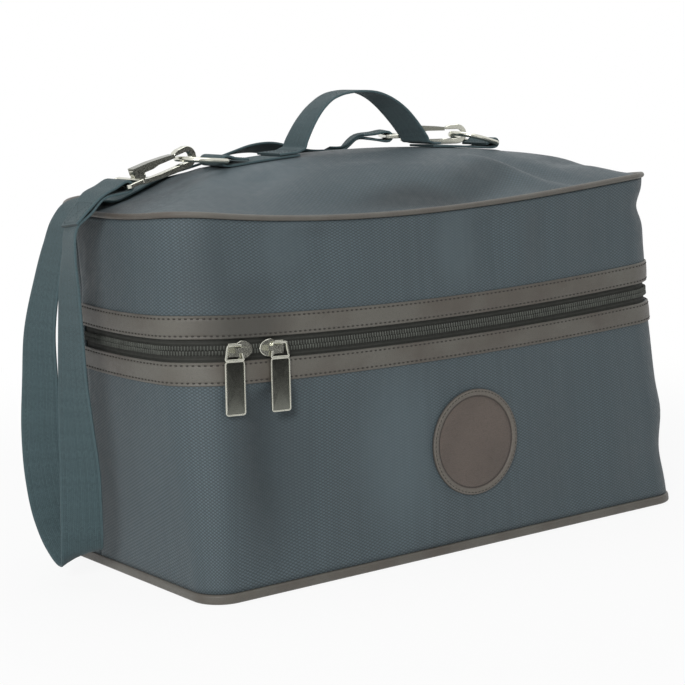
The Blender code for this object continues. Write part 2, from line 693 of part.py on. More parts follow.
def build_ring(name, bar_x, tilt, hinge):
    bar, away = ring_frame(bar_x, tilt)
    half = RING_INSIDE / 2 + RING_WIRE
    corner = RING_CORNER
    bow_start = RING_DEPTH - half
    lower = [(0.0, -half + corner)] + [(corner * (1 - math.cos(math.radians(a))),
                                       -half + corner * (1 - math.sin(math.radians(a)))) for a in (45, 90)]
    lower += [(bow_start + half * math.cos(math.radians(a)), half * math.sin(math.radians(a)))
              for a in range(-90, 0, 15)]
    points = lower + [(RING_DEPTH, 0.0)] + [(u, -v) for u, v in reversed(lower)]
    made = tube(name, [ring_point(bar, away, u, v) for u, v in points], RING_WIRE, NICKEL, cyclic=True)
    hang(made, pivot(name + "_bar", bar, hinge))


def hook_frame(side):
    """Matrix from the hook's own u, v, w to the bag, with the ring's wire near the hook's origin."""
    if side == "left":
        bar, away = ring_frame(RING_LEFT, RING_TILT_LEFT)
        contact = ring_point(bar, away, RING_DEPTH, 0.0)
        tilt, yaw = math.radians(HOOK_TILT_LEFT), 0.0
        u_axis = Vector((math.cos(tilt), 0.0, math.sin(tilt)))
    else:
        bar, away = ring_frame(RING_RIGHT, RING_TILT_RIGHT)
        half = RING_INSIDE / 2 + RING_WIRE
        u = RING_DEPTH - half + math.sqrt(half ** 2 - HOOK_SHIFT_RIGHT ** 2)
        contact = ring_point(bar, away, u, HOOK_SHIFT_RIGHT) + Vector((0.0, 0.0, HOOK_SEAT_RIGHT))
        tilt, yaw = math.radians(HOOK_TILT_RIGHT), math.radians(HOOK_YAW_RIGHT)
        u_axis = Vector((math.cos(tilt) * math.cos(yaw), -math.cos(tilt) * math.sin(yaw), math.sin(tilt)))
    v_axis = Vector((0.0, 0.0, 1.0)).cross(u_axis).normalized()
    w_axis = u_axis.cross(v_axis).normalized()
    return frame_matrix(contact, u_axis, v_axis, w_axis)


SIDE_VIEW = Matrix.Rotation(math.radians(90), 4, "X")   # an outline's x, y become the hook's u, w


def hook_outline():
    bottom = -THROAT - ARM_THICKNESS
    outer = (THROAT * 2 + ARM_THICKNESS + NOSE_THICKNESS) / 2
    middle = (THROAT + NOSE_THICKNESS + bottom) / 2
    points = [(NECK_BACK, -0.0046), (NECK_FRONT - 0.0010, -0.0064), (-0.0200, bottom + 0.0006), (-0.0080, bottom)]
    points += arc((BOW_CENTRE, middle), outer, -90, 84, 9)
    points += [(-0.0005, THROAT + NOSE_THICKNESS - 0.0004), (-0.0042, THROAT + 0.0023), (-0.0050, THROAT + 0.0008),
               (-0.0040, THROAT)]
    points += arc((BOW_CENTRE, 0.0), THROAT, 90, -90, 7)
    points += [(-0.0200, -THROAT), (-0.0300, -0.0034), (NECK_FRONT, -0.0030), (NECK_FRONT, 0.0036),
               (NECK_FRONT - 0.0023, 0.0058), (NECK_BACK, 0.0058)]
    return points


def build_hook(side, hinge):
    frame = hook_frame(side)
    body = plate("snap_hook_" + side, [hook_outline()], HOOK_THICKNESS, NICKEL)
    body.data.transform(SIDE_VIEW)
    rounded(body, 0.0008, 1, 40)
    bore = rod("post_bore_" + side, (NECK_BACK - 0.002, 0, 0), (NECK_FRONT + 0.002, 0, 0),
               POST_RADIUS + POST_CLEARANCE, None, cutters)
    pin_hole = rod("pin_hole_" + side, (PIN_U, -0.01, PIN_W), (PIN_U, 0.01, PIN_W), PIN_RADIUS + GAP, None, cutters)
    combine(body, bore, "DIFFERENCE")
    combine(body, pin_hole, "DIFFERENCE")

    eye_inner = NECK_BACK - EYE_NECK
    eye_outer = eye_inner - EYE_DEPTH
    half = EYE_INSIDE / 2 + EYE_BAR * 0.8
    inside = EYE_INSIDE / 2
    frame_outline = [(eye_outer + 0.002, -half), (eye_inner - 0.001, -half), (eye_inner, -half + 0.001),
                     (eye_inner, half - 0.001), (eye_inner - 0.001, half), (eye_outer + 0.002, half),
                     (eye_outer, half - 0.002), (eye_outer, -half + 0.002)]
    window = [(eye_outer + EYE_BAR, -inside), (eye_inner - EYE_BAR, -inside), (eye_inner - EYE_BAR, inside),
              (eye_outer + EYE_BAR, inside)]
    eye = plate("swivel_eye_" + side, [frame_outline, window], EYE_BAR, NICKEL)
    rounded(eye, 0.0006, 1, 40)
    post = rod("post_" + side, (eye_inner - 0.001, 0, 0), (NECK_FRONT + GAP + POST_HEAD / 2, 0, 0), POST_RADIUS, None,
               cutters)
    head = rod("post_head_" + side, (NECK_FRONT + GAP, 0, 0), (NECK_FRONT + GAP + POST_HEAD, 0, 0), POST_HEAD_RADIUS,
               None, cutters)
    combine(eye, post, "UNION")
    combine(eye, head, "UNION")

    cheek_out = HOOK_THICKNESS / 2 + GAP + LEVER_CHEEK
    lever_outline = [(-0.0405, 0.0019), (-0.0250, 0.0019), (-0.0200, 0.0030), (LEVER_TIP, 0.0029),
                     (LEVER_TIP, 0.0056), (-0.0120, 0.0064), (-0.0260, 0.0074), (-0.0405, 0.0074)]
    lever = plate("gate_lever_" + side, [lever_outline], 2 * cheek_out, DARK_NICKEL)
    lever.data.transform(SIDE_VIEW)
    channel = block("lever_channel_" + side, (-0.0435, -HOOK_THICKNESS / 2 - GAP, -0.002),
                    (-0.0205, HOOK_THICKNESS / 2 + GAP, 0.0063), None, cutters)
    lever_hole = rod("lever_hole_" + side, (PIN_U, -0.01, PIN_W), (PIN_U, 0.01, PIN_W), PIN_RADIUS + GAP, None,
                     cutters)
    combine(lever, channel, "DIFFERENCE")
    combine(lever, lever_hole, "DIFFERENCE")
    pin = rod("gate_pin_" + side, (PIN_U, -cheek_out - GAP, PIN_W), (PIN_U, cheek_out + GAP, PIN_W), PIN_RADIUS,
              DARK_NICKEL, sides=12)

    swivel = pivot("hook_swivel_" + side, frame.translation, hinge)
    gate_pivot = pivot("gate_pivot_" + side, frame @ Vector((PIN_U, 0.0, PIN_W)), swivel)
    for tool in (bore, pin_hole, post, head, channel, lever_hole):
        tool.matrix_world = frame
    for piece, empty in ((body, swivel), (eye, hinge), (lever, gate_pivot), (pin, swivel)):
        piece.matrix_world = frame
        hang(piece, empty)


# Shoulder strap

STRAP_Y = 0.0365             # where the strap crosses the top, behind the handle and rings
STRAP_START = LEFT_EDGE + 0.0159    # X where it comes to lie on the top, and where it starts to bend
STRAP_BEND = RING_RIGHT - 0.2275
STRAP_LIFT = FIRST_LAYER + 0.0006
EYE_FOLD = EYE_BAR * 0.75 + GAP + WEBBING / 2 + 0.0004
LAYER = (WEBBING + FOLD_GAP) / 2    # each layer from the middle of the fold
FOLD_NEAR = 0.0090           # from the eye's bar: where the fold has closed, and the far end of the seam
FOLD_FAR = 0.0200
FOLD_OPEN = 0.0012           # half the extra opening at the near place
# Hanging loop: X from the left edge, Y, share of the edge's height, direction across
STRAP_LOOP = (
    (-0.0366, 0.0000, 0.881, -0.20, -0.98), (-0.0376, 0.0000, 0.796, -0.02, -1.00),
    (-0.0381, 0.0000, 0.685, 0.10, -0.99), (-0.0383, 0.0000, 0.556, 0.22, -0.97),
    (-0.0371, -0.0010, 0.426, 0.45, -0.89), (-0.0351, -0.0020, 0.296, 0.70, -0.71),
    (-0.0339, -0.0020, 0.185, 0.80, -0.60), (-0.0326, 0.0000, 0.104, 0.82, -0.57),
    (-0.0296, 0.0050, 0.052, 0.83, -0.56), (-0.0246, 0.0130, 0.031, 0.83, -0.56),
    (-0.0201, 0.0210, 0.041, 0.83, -0.56), (-0.0186, 0.0290, 0.081, 0.82, -0.57),
    (-0.0206, 0.0350, 0.156, 0.80, -0.60), (-0.0261, 0.0390, 0.267, 0.72, -0.69),
    (-0.0321, 0.0410, 0.400, 0.62, -0.78), (-0.0361, 0.0410, 0.537, 0.50, -0.87),
    (-0.0361, 0.0400, 0.674, 0.32, -0.95), (-0.0321, 0.0390, 0.796, 0.16, -0.99),
    (-0.0266, 0.0380, 0.896, 0.05, -1.00), (-0.0201, 0.0370, 0.963, 0.00, -1.00),
    (-0.0121, 0.0366, 0.996, 0.00, -1.00), (-0.0021, 0.0365, 1.009, 0.00, -1.00))
# Bend towards the right hook: X from the right ring's bar, Y
STRAP_TURN = ((-0.2075, 0.0372), (-0.1875, 0.0390), (-0.1675, 0.0415), (-0.1475, 0.0440), (-0.1295, 0.0453),
              (-0.1135, 0.0450))


def eye_fold(side, first):
    """Path round the eye's bar with its two sewn layers, from the upper layer if first is 1 and the lower if -1."""
    frame = hook_frame(side)
    along, up = frame.to_3x3() @ Vector((1, 0, 0)), frame.to_3x3() @ Vector((0, 0, 1))
    across = frame.to_3x3() @ Vector((0, -1, 0))
    bar = frame @ Vector((NECK_BACK - EYE_NECK - EYE_DEPTH + EYE_BAR / 2, 0.0, 0.0))
    places = [(-FOLD_FAR, first * LAYER), (-FOLD_NEAR, first * (LAYER + FOLD_OPEN))]
    places += arc((0.0, 0.0), EYE_FOLD, first * 105, -first * 105, 8)
    places += [(-FOLD_NEAR, -first * (LAYER + FOLD_OPEN)), (-FOLD_FAR, -first * LAYER)]
    return bar, across, [(bar + along * u + up * w, across) for u, w in places]


def strap_path():
    """From the sewn tail at the left hook, round its eye, down and up the loop, and over to the right hook."""
    left_bar, _, left_fold = eye_fold("left", 1)
    _, right_across, right_fold = eye_fold("right", -1)
    tail, seam = Vector((-0.25, -0.97, 0.0)), Vector((-0.15, -0.99, 0.0))
    far = left_bar + Vector((-0.0375, 0.0, -0.0259))
    path = [(far + Vector((-0.0022, 0.0, 0.0008)), tail), (left_bar + Vector((-0.0290, 0.0, -0.0139)), seam)]
    path += left_fold + [(left_bar + Vector((-0.0268, 0.0, -0.0161)), seam), (far, tail)]
    path += [(Vector((LEFT_EDGE + x, y, share * EDGE_HEIGHT)), Vector((turn, ahead, 0.0)))
             for x, y, share, turn, ahead in STRAP_LOOP]
    path += [crest_point(mix(STRAP_START, STRAP_BEND, k / 6), STRAP_Y, FIRST_LAYER + GAP) for k in range(7)]
    turns = [ACROSS.lerp(right_across, k / len(STRAP_TURN)) for k in range(len(STRAP_TURN))]
    bend = list(zip(STRAP_TURN, turns))
    path += [crest_point(RING_RIGHT + x, y, STRAP_LIFT, (turn.x, turn.y)) for (x, y), turn in bend]
    path += right_fold
    return path + [crest_point(RING_RIGHT + x, y, STRAP_LIFT + 2 * LAYER, (turn.x, turn.y))
                   for (x, y), turn in reversed(bend[-2:])]


# Zip sliders and pull tags

def slider_outline(nose):
    """Plate with a long round nose, which points along +u or -u, drawn in to a square end."""
    half, high, tail = SLIDER_LENGTH / 2, SLIDER_HEIGHT / 2, SLIDER_TAIL_HEIGHT / 2
    widest = half - SLIDER_NOSE
    turns = [math.radians(-90 + 180 * i / 12) for i in range(13)]
    points = [(widest + SLIDER_NOSE * math.cos(a), high * math.sin(a)) for a in turns]
    shoulder = widest - (high - tail) * 2
    points += [(shoulder, tail), (-half, tail), (-half, -tail), (shoulder, -tail)]
    return [(nose * u, v) for u, v in points][::nose]


def box_between(name, u_ends, v_half, w_low, w_high, nose):
    """A box on the slider, mirrored with its nose."""
    low, high = sorted(nose * u for u in u_ends)
    return block(name, (low, v_half[0], w_low), (high, v_half[1], w_high), None, cutters)


def build_slider(side, station, nose):
    """The body rides on the coils, and its crown carries the pull tag."""
    here, along, up, outward = wall_frame(wall_point, station[1], ZIP_HEIGHT, station[0], COIL_PROUD)
    frame = frame_matrix(here, along, up, outward)
    front = SLIDER_CLEAR + SLIDER_PLATE
    body = plate("zip_slider_" + side, [slider_outline(nose)], SLIDER_PLATE, NICKEL, bevel=0.0003)
    body.data.transform(Matrix.Translation((0, 0, SLIDER_CLEAR + SLIDER_PLATE / 2)))
    lip_foot = -SLIDER_TAIL_HEIGHT / 2
    half_lip, half_crown = LIP_LENGTH / 2, CROWN_HEIGHT / 2
    sunk = front - SLIDER_PLATE / 3
    tools = [box_between("slider_lip_" + side, (-half_lip, half_lip), (lip_foot, lip_foot + LIP_HEIGHT),
                         -LIP_DEPTH, SLIDER_CLEAR + SLIDER_PLATE / 2, nose),
             box_between("crown_tail_leg_" + side, (CROWN_TAIL, CROWN_TAIL + CROWN_LEG), (-half_crown, half_crown),
                         sunk, front + CROWN_RISE - CROWN_PLATE / 2, nose),
             box_between("crown_nose_leg_" + side, (CROWN_NOSE - CROWN_LEG, CROWN_NOSE), (-half_crown, half_crown),
                         sunk, front + CROWN_RISE - CROWN_PLATE / 2, nose),
             box_between("crown_plate_" + side, (CROWN_TAIL, CROWN_NOSE), (-half_crown, half_crown),
                         front + CROWN_RISE - CROWN_PLATE, front + CROWN_RISE, nose)]
    for tool in tools:
        combine(body, tool, "UNION")
        tool.matrix_world = frame
    body.matrix_world = frame
    return body, frame


def build_tag(side, frame, nose):
    """A plate with a bare recessed panel, whose open yoke hangs on the leg at the crown's tail."""
    bottom = -TAG_YOKE - TAG_LENGTH
    half, top_half = TAG_WIDTH / 2, YOKE_TOP_WIDTH / 2
    outline = arc((half - TAG_CORNER, bottom + TAG_CORNER), TAG_CORNER, -90, 0, 3)
    outline += [(half, -TAG_YOKE), (top_half, YOKE_CLEAR + YOKE_BAR), (-top_half, YOKE_CLEAR + YOKE_BAR),
                (-half, -TAG_YOKE)]
    outline += arc((-half + TAG_CORNER, bottom + TAG_CORNER), TAG_CORNER, 180, 270, 3)
    foot, head = -TAG_YOKE + 0.0004, YOKE_CLEAR
    window = [(-half + YOKE_BAR, foot), (half - YOKE_BAR, foot), (top_half - YOKE_BAR, head),
              (-top_half + YOKE_BAR, head)]
    tag = plate("pull_tag_" + side, [outline, window], TAG_THICKNESS, NICKEL)
    field = block("tag_field_" + side, (-half + TAG_FRAME, bottom + TAG_FRAME, TAG_THICKNESS / 2 - TAG_FIELD),
                  (half - TAG_FRAME, -TAG_YOKE - TAG_FRAME, TAG_THICKNESS), None, cutters)
    combine(tag, field, "DIFFERENCE")
    level = SLIDER_CLEAR + SLIDER_PLATE + (CROWN_RISE - CROWN_PLATE) / 2
    hung = frame @ Matrix.Translation((nose * (CROWN_TAIL + CROWN_LEG / 2), 0.0, level))
    tag.matrix_world = hung
    field.matrix_world = hung
    return tag, hung.translation


def circle_through(p, q, r):
    """Centre, unit axis and turn from p to r of the circle through three points."""
    a, b = p - r, q - r
    normal = a.cross(b)
    centre = r + (b * a.length_squared - a * b.length_squared).cross(normal) / (2 * normal.length_squared)
    axis = (p - centre).cross(r - centre).normalized()
    turn = (p - centre).angle(r - centre)
    return centre, axis, turn


def zip_point(side, share):
    return wall_point(side, share, ZIP_HEIGHT, COIL_PROUD)


def slider_stations():
    """Where each slider rests, a place half way and the end of its travel, as side and share."""
    straight = 2 * (half_length(ZIP_HEIGHT) - corner_radius(ZIP_HEIGHT))
    right_rest = SLIDER_PITCH / straight
    right_end = 1 - SLIDER_LENGTH / straight
    return {"left": ((FRONT, 0.0), (LEFT_FRONT, 0.62), (LEFT_FRONT, 0.24)),
            "right": ((FRONT, right_rest), (FRONT, (right_rest + right_end) / 2), (FRONT, right_end))}


def slider_track(side):
    """The circle that the slider's path lies on: its centre, its axis and the turn of its travel."""
    rest, half_way, end = (zip_point(*station) for station in slider_stations()[side])
    return circle_through(rest, half_way, end)


def build_zip_pulls():
    for side, nose in (("left", 1), ("right", -1)):
        body, frame = build_slider(side, slider_stations()[side][0], nose)
        centre, _, _ = slider_track(side)
        track = pivot("slider_track_" + side, centre)
        hang(body, track)
        tag, leg = build_tag(side, frame, nose)
        hang(tag, pivot("tag_pivot_" + side, leg, track))


def main():
    back_face = half_width(ZIP_HEIGHT)
    hinge = pivot("lid_hinge", (0.0, back_face + GAP, ZIP_HEIGHT))
    build_tub()
    build_patch()
    build_lid(hinge)
    build_ring_tab("ring_tab_left", RING_LEFT, 1, TAB_TAIL_LEFT, hinge)
    build_ring_tab("ring_tab_right", RING_RIGHT, -1, TAB_TAIL_RIGHT, hinge)
    hang(ribbon("carry_handle", handle_path()), hinge)
    build_ring("d_ring_left", RING_LEFT, RING_TILT_LEFT, hinge)
    build_ring("d_ring_right", RING_RIGHT, RING_TILT_RIGHT, hinge)
    for side in ("left", "right"):
        build_hook(side, hinge)
    hang(ribbon("shoulder_strap", strap_path()), hinge)
    build_zip_pulls()


main()
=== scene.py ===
"""Dresses the grooming bag: cloth, leatherette, webbing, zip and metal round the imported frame.

Lengths are in metres in the frame's own axes: +X along the bag, the front faces -Y, +Z is up.
"""
import math

import bmesh
import bpy
import numpy as np
from mathutils import Matrix


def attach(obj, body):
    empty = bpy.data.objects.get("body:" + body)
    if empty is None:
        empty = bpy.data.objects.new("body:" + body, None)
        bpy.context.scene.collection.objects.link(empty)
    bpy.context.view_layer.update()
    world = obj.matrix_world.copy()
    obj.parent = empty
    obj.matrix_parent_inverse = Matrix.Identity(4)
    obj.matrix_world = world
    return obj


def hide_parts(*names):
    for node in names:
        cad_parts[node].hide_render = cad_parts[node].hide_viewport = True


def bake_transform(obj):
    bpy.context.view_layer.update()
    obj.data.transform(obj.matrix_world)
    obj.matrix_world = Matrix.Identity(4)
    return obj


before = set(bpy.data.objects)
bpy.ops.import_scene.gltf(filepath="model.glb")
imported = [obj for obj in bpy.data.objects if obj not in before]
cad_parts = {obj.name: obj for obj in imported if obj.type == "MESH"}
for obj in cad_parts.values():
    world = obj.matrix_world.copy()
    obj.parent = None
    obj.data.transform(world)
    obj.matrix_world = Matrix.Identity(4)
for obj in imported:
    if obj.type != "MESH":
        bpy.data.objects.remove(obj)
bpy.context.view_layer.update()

bl_info = {
    "name": "Grooming bag dressing",
    "version": (1, 0, 0),
    "blender": (4, 5, 0),
    "location": "3D Viewport > Sidebar > Grooming Bag",
    "description": "Cloth, leatherette, webbing, zip and metal for a rider's grooming bag",
    "category": "Object",
}

# Body of the bag, as in the part's source
LENGTH_BOTTOM, LENGTH_TOP = 0.4588, 0.4540
WIDTH_BOTTOM, WIDTH_TOP = 0.2094, 0.1725
EDGE_HEIGHT, ZIP_HEIGHT = 0.270, 0.176
LEAN = -0.00605
CORNER_BOTTOM, CORNER_ZIP, CORNER_TOP = 0.022, 0.038, 0.030
FRONT_SAG, FRONT_SAG_SKEW, FRONT_BULGE = 0.0125, 0.4, 0.009
END_SAG, END_BULGE, SAG_POWER = 0.006, 0.008, 1.6
SIDE_SEAM = 0.045
FABRIC, TRIM, TRIM_HEIGHT, TAPE, LINING, BOARD = 0.0016, 0.0010, 0.0165, 0.0008, 0.0008, 0.0020
GAP = 0.0003
ZIP_SHOWING = 0.0160
COIL_HEIGHT, COIL_DEPTH, COIL_PROUD = 0.0028, 0.0020, 0.0004
BASE_PIPING_HEIGHT, BASE_PIPING_DEPTH, BASE_PIPING_PROUD = 0.0070, 0.0045, 0.0015
BASE_PIPING_ROUND, BASE_PIPING_AROUND = 0.0019, 0.022
TOP_PIPING_RADIUS = 0.0022
TRIM_TUCK = 0.0005
PIPING_CLEAR = 0.0004
TAPE_MARGIN = LINING_MARGIN = 0.0040
SEAM_CORD = 0.00033
LID_LINING_FALL, CROWN_LINING_DROP = 0.0060, 0.0020
CREST_RISE, CREST_MIDDLE, CREST_DROP = 0.0281, -0.0150, 0.0201
SIDE_ROUND, LEFT_ROUND, RIGHT_ROUND = 2.0, 1.1, 3.0
PATCH_RADIUS, PATCH_THICKNESS, PATCH_BORDER = 0.0416, 0.0013, 0.0055
PATCH_BORDER_RISE, PATCH_X, PATCH_Z = 0.0005, 0.01085, 0.0830

# The patch's section from the groove outwards, as steps from a radius and a level, and its sewn row
PATCH_GROOVE = ((-0.0011, -0.0002), (-0.0006, -0.0005), (0.0, -0.0005), (0.0005, -0.0001))
PATCH_RIM = ((0.0010, -0.0001), (0.0018, 0.0001), (0.0030, 0.0002))
PATCH_EDGE = ((-0.0014, 0.0001), (-0.0007, -0.0001), (-0.0002, -0.0005), (0.0, -0.0010))
PATCH_BACK = ((0.0, 0.0002), (-0.0004, 0.0))
PATCH_ROW, PATCH_STITCH, PATCH_THREAD = 0.0036, 0.0034, (0.0006, 0.0024)

# Webbing, handle, rings and hooks, as in the part's source
WEBBING_WIDTH, WEBBING, FOLD_GAP = 0.030, 0.0018, 0.0005
LEFT_EDGE, RIGHT_EDGE = LEAN - LENGTH_TOP / 2, LEAN + LENGTH_TOP / 2
RING_WIRE, RING_INSIDE, RING_DEPTH, RING_CORNER, RING_LIFT = 0.0019, 0.0310, 0.0305, 0.0022, 0.0010
RING_LEFT, RING_RIGHT, RING_TILT_LEFT, RING_TILT_RIGHT = LEFT_EDGE + 0.0869, RIGHT_EDGE - 0.1086, 5.0, 16.0
HANDLE_LEFT, HANDLE_RIGHT, HANDLE_RISE = RING_LEFT + 0.0694, RING_RIGHT - 0.0685, 0.0425
HANDLE_FULL_LEFT, HANDLE_FULL_RIGHT, ARCH_STEPS = 2.9, 2.0, 18
HANDLE_TURNS = ((-1.0, 0.0), (-0.5, -0.22), (0.0, -0.08), (0.6, 0.18), (1.0, 0.14))
HANDLE_FOOT_LEFT, HANDLE_FOOT_RIGHT, HANDLE_BEND, HANDLE_HEEL = 0.022, 0.0115, 0.0012, 0.0050
TAB_TAIL_LEFT, TAB_TAIL_RIGHT, TAB_HIDDEN, TAB_END_LIFT, TAB_MIDDLE_LIFT = 0.020, 0.010, 0.004, 0.0004, 0.0019
HOOK_TILT_LEFT, HOOK_YAW_RIGHT, HOOK_SHIFT_RIGHT, HOOK_SEAT_RIGHT = 17.0, 27.0, 0.0126, 0.0008
NECK_BACK, EYE_BAR, EYE_DEPTH, EYE_NECK = -0.0410, 0.0030, 0.0140, 0.0010

# Zip pulls, as in the part's source
SLIDER_PLATE, SLIDER_CLEAR, SLIDER_PITCH = 0.0013, 0.0005, 0.0250
CROWN_TAIL, CROWN_RISE, CROWN_PLATE, CROWN_LEG = -0.0070, 0.0046, 0.0022, 0.0024
TAG_WIDTH, TAG_LENGTH, TAG_THICKNESS, TAG_CORNER, TAG_YOKE = 0.0160, 0.0378, 0.0016, 0.0022, 0.0070
YOKE_TOP_WIDTH, YOKE_BAR, YOKE_CLEAR = 0.0124, 0.0018, 0.0024
TAG_RIM, TAG_SUNK, TAG_SWELL = 0.0006, 0.00035, 0.00012    # half width of the frame, and the panel's level
TAG_EDGE, YOKE_EDGE, YOKE_BEND, YOKE_LAP, YOKE_THICKNESS = 0.00035, 0.0005, 0.0012, 0.0002, TAG_THICKNESS * 0.92

LOWER_TRIM_TOP = ZIP_HEIGHT - ZIP_SHOWING / 2
LOWER_TRIM_BOTTOM = LOWER_TRIM_TOP - TRIM_HEIGHT
UPPER_TRIM_BOTTOM = ZIP_HEIGHT + ZIP_SHOWING / 2
UPPER_TRIM_TOP = UPPER_TRIM_BOTTOM + TRIM_HEIGHT
WALL_START = BASE_PIPING_HEIGHT + GAP
LID_WALL_TOP = EDGE_HEIGHT - TOP_PIPING_RADIUS - GAP
TUB_FADE, LID_FADE = (WALL_START, LOWER_TRIM_BOTTOM), (UPPER_TRIM_TOP, LID_WALL_TOP)    # heights with no slump
CLOTH_STEP = 0.003           # along the wall between points of its cloth
FLOOR_REACH, VAULT_REACH = 0.97, 0.95      # shares at which the linings' middles meet their walls
TOP_CROWDING = 1.2           # the top panel's rows crowd towards its edge by this power
TAPE_OUT = -FABRIC - GAP
LINING_OUT = TAPE_OUT - TAPE - 2 * GAP
CROWN_OUT = -TOP_PIPING_RADIUS - PIPING_CLEAR
FIRST_LAYER = 2 * GAP + WEBBING / 2
SECOND_LAYER = FIRST_LAYER + WEBBING + FOLD_GAP
FOLD_RADIUS = RING_WIRE + GAP + WEBBING / 2 + 0.0002
EYE_FOLD = EYE_BAR * 0.75 + GAP + WEBBING / 2 + 0.0004

# Shoulder strap, much as in the part's source. The sewn tail's points are steps from the left eye's bar, and
# the loop's are X from the left edge, Y and share of the edge's height, each with the direction across. The
# turn's points are X from the right ring and Y, and the arch is how far the strap lifts along its way.
STRAP_Y, STRAP_START, STRAP_BEND, STRAP_LIFT = 0.0365, LEFT_EDGE + 0.0159, RING_RIGHT - 0.2275, FIRST_LAYER + 0.0006
LAYER, FOLD_NEAR, FOLD_FAR, FOLD_OPEN = (WEBBING + FOLD_GAP) / 2, 0.0090, 0.0200, 0.0012
STRAP_TAIL = ((-0.0397, 0.0, -0.0251, (-0.25, -0.97, 0.0)), (-0.0290, 0.0, -0.0139, (-0.15, -0.99, 0.0)),
              (-0.0268, 0.0, -0.0161, (-0.15, -0.99, 0.0)), (-0.0375, 0.0, -0.0259, (-0.25, -0.97, 0.0)))
STRAP_LOOP = (
    (-0.0366, 0.0000, 0.881, -0.20, -0.98, 0.0), (-0.0376, 0.0000, 0.796, -0.02, -1.00, 0.0),
    (-0.0381, 0.0000, 0.685, 0.10, -0.99, 0.0), (-0.0383, 0.0000, 0.556, 0.22, -0.97, 0.0),
    (-0.0378, -0.0010, 0.426, 0.45, -0.89, 0.0), (-0.0371, -0.0020, 0.300, 0.70, -0.71, 0.03),
    (-0.0375, -0.0020, 0.200, 0.80, -0.60, 0.12), (-0.0368, 0.0000, 0.132, 0.80, -0.55, 0.24),
    (-0.0350, 0.0050, 0.092, 0.79, -0.53, 0.33), (-0.0330, 0.0130, 0.077, 0.79, -0.53, 0.36),
    (-0.0335, 0.0220, 0.084, 0.79, -0.53, 0.34), (-0.0362, 0.0300, 0.118, 0.79, -0.54, 0.28),
    (-0.0400, 0.0350, 0.178, 0.79, -0.58, 0.18), (-0.0431, 0.0390, 0.275, 0.72, -0.69, 0.06),
    (-0.0441, 0.0410, 0.400, 0.62, -0.78, 0.0), (-0.0425, 0.0410, 0.537, 0.50, -0.87, 0.0),
    (-0.0411, 0.0400, 0.674, 0.32, -0.95, 0.0), (-0.0345, 0.0390, 0.796, 0.16, -0.99, 0.0),
    (-0.0271, 0.0380, 0.896, 0.05, -1.00, 0.0), (-0.0201, 0.0370, 0.963, 0.00, -1.00, 0.0),
    (-0.0121, 0.0366, 0.996, 0.00, -1.00, 0.0), (-0.0021, 0.0365, 1.009, 0.00, -1.00, 0.0))
STRAP_TURN = ((-0.2075, 0.0372), (-0.1875, 0.0390), (-0.1675, 0.0415), (-0.1475, 0.0440), (-0.1295, 0.0453),
              (-0.1135, 0.0450))
STRAP_ARCH = (0.0, 0.0, 0.0, 0.0, 0.0008, 0.0030, 0.0060, 0.0090, 0.0090, 0.0050, 0.0010, 0.0, 0.0)

SIDES, DENSE = 10, 4001      # sides of the outline, and points along it where its running length is measured
NEARBY = 0.001               # a short step, for finding directions
TOUCH = 0.00001              # points nearer than this are one
WEFT_SEED = 311.5            # keeps the weft's threads apart from the warp's
FRONT_SPAN = (0.0, 5.0)      # the outline's stations from seam to seam round the front
HAIR = GAP / (WIDTH_BOTTOM / 2 - CORNER_ZIP - SIDE_SEAM)
BACK_SPAN = (5.0 + HAIR, 10.0 - HAIR)

X_AXIS, ACROSS, Z_AXIS = np.array([1.0, 0.0, 0.0]), np.array([0.0, -1.0, 0.0]), np.array([0.0, 0.0, 1.0])

# Sewing of the webbing: pitch, half width of a box and of a tab's rows, lift, and thickness and length of a stitch
SEWN_PITCH, SEWN_BOX_HALF, TAB_SEWN_HALF, SEWN_LIFT = 0.0030, 0.0120, 0.0125, 0.0001
SEWN_THREAD, SEWN_START = (0.0006, 0.0022), 0.0020
LEFT_UNSEWN, RIGHT_UNSEWN, STRAP_SEWN_LEFT, STRAP_SEWN_RIGHT = 0.0040, 0.0030, 0.0200, 0.0240
TAB_STEP, HANDLE_STEP, STRAP_STEP = 0.0010, 0.0014, 0.0022   # along the webbing between points

# Waves of the cloth, as a seed and a size, and the Y where the front starts. The waves fade near a panel's
# edges, round the patch, and under the webbing, which lies about a line at one Y.
WALL_WAVES, TOP_WAVES, FRONT_FROM = (7, 0.16), (11, 0.13), -0.05
EDGE_FADE, PATCH_STILL, PATCH_FADE = 0.014, 0.004, 0.030
HELD_MIDDLE, HELD_HALF, HELD_FADE, TAB_FADE = 0.012, 0.038, 0.018, 0.010

# Soft hollows in the cloth: x, height, half width, half height, depth
FRONT_HOLLOWS = ((-0.165, 0.100, 0.024, 0.075, 0.0118), (-0.082, 0.075, 0.030, 0.060, 0.0048),
                 (-0.060, 0.125, 0.045, 0.020, 0.0026), (-0.020, 0.045, 0.026, 0.034, -0.0030),
                 (0.110, 0.070, 0.026, 0.060, 0.0040), (0.160, 0.060, 0.018, 0.050, -0.0018),
                 (-0.130, 0.238, 0.026, 0.022, 0.0050), (-0.080, 0.226, 0.022, 0.022, -0.0016),
                 (0.030, 0.236, 0.020, 0.030, 0.0036), (0.066, 0.232, 0.015, 0.030, -0.0026),
                 (0.090, 0.236, 0.014, 0.030, 0.0024), (0.150, 0.230, 0.026, 0.022, 0.0020),
                 (0.215, 0.243, 0.030, 0.010, 0.0040), (0.215, 0.042, 0.030, 0.018, 0.0026),
                 (0.218, 0.078, 0.030, 0.016, -0.0020))

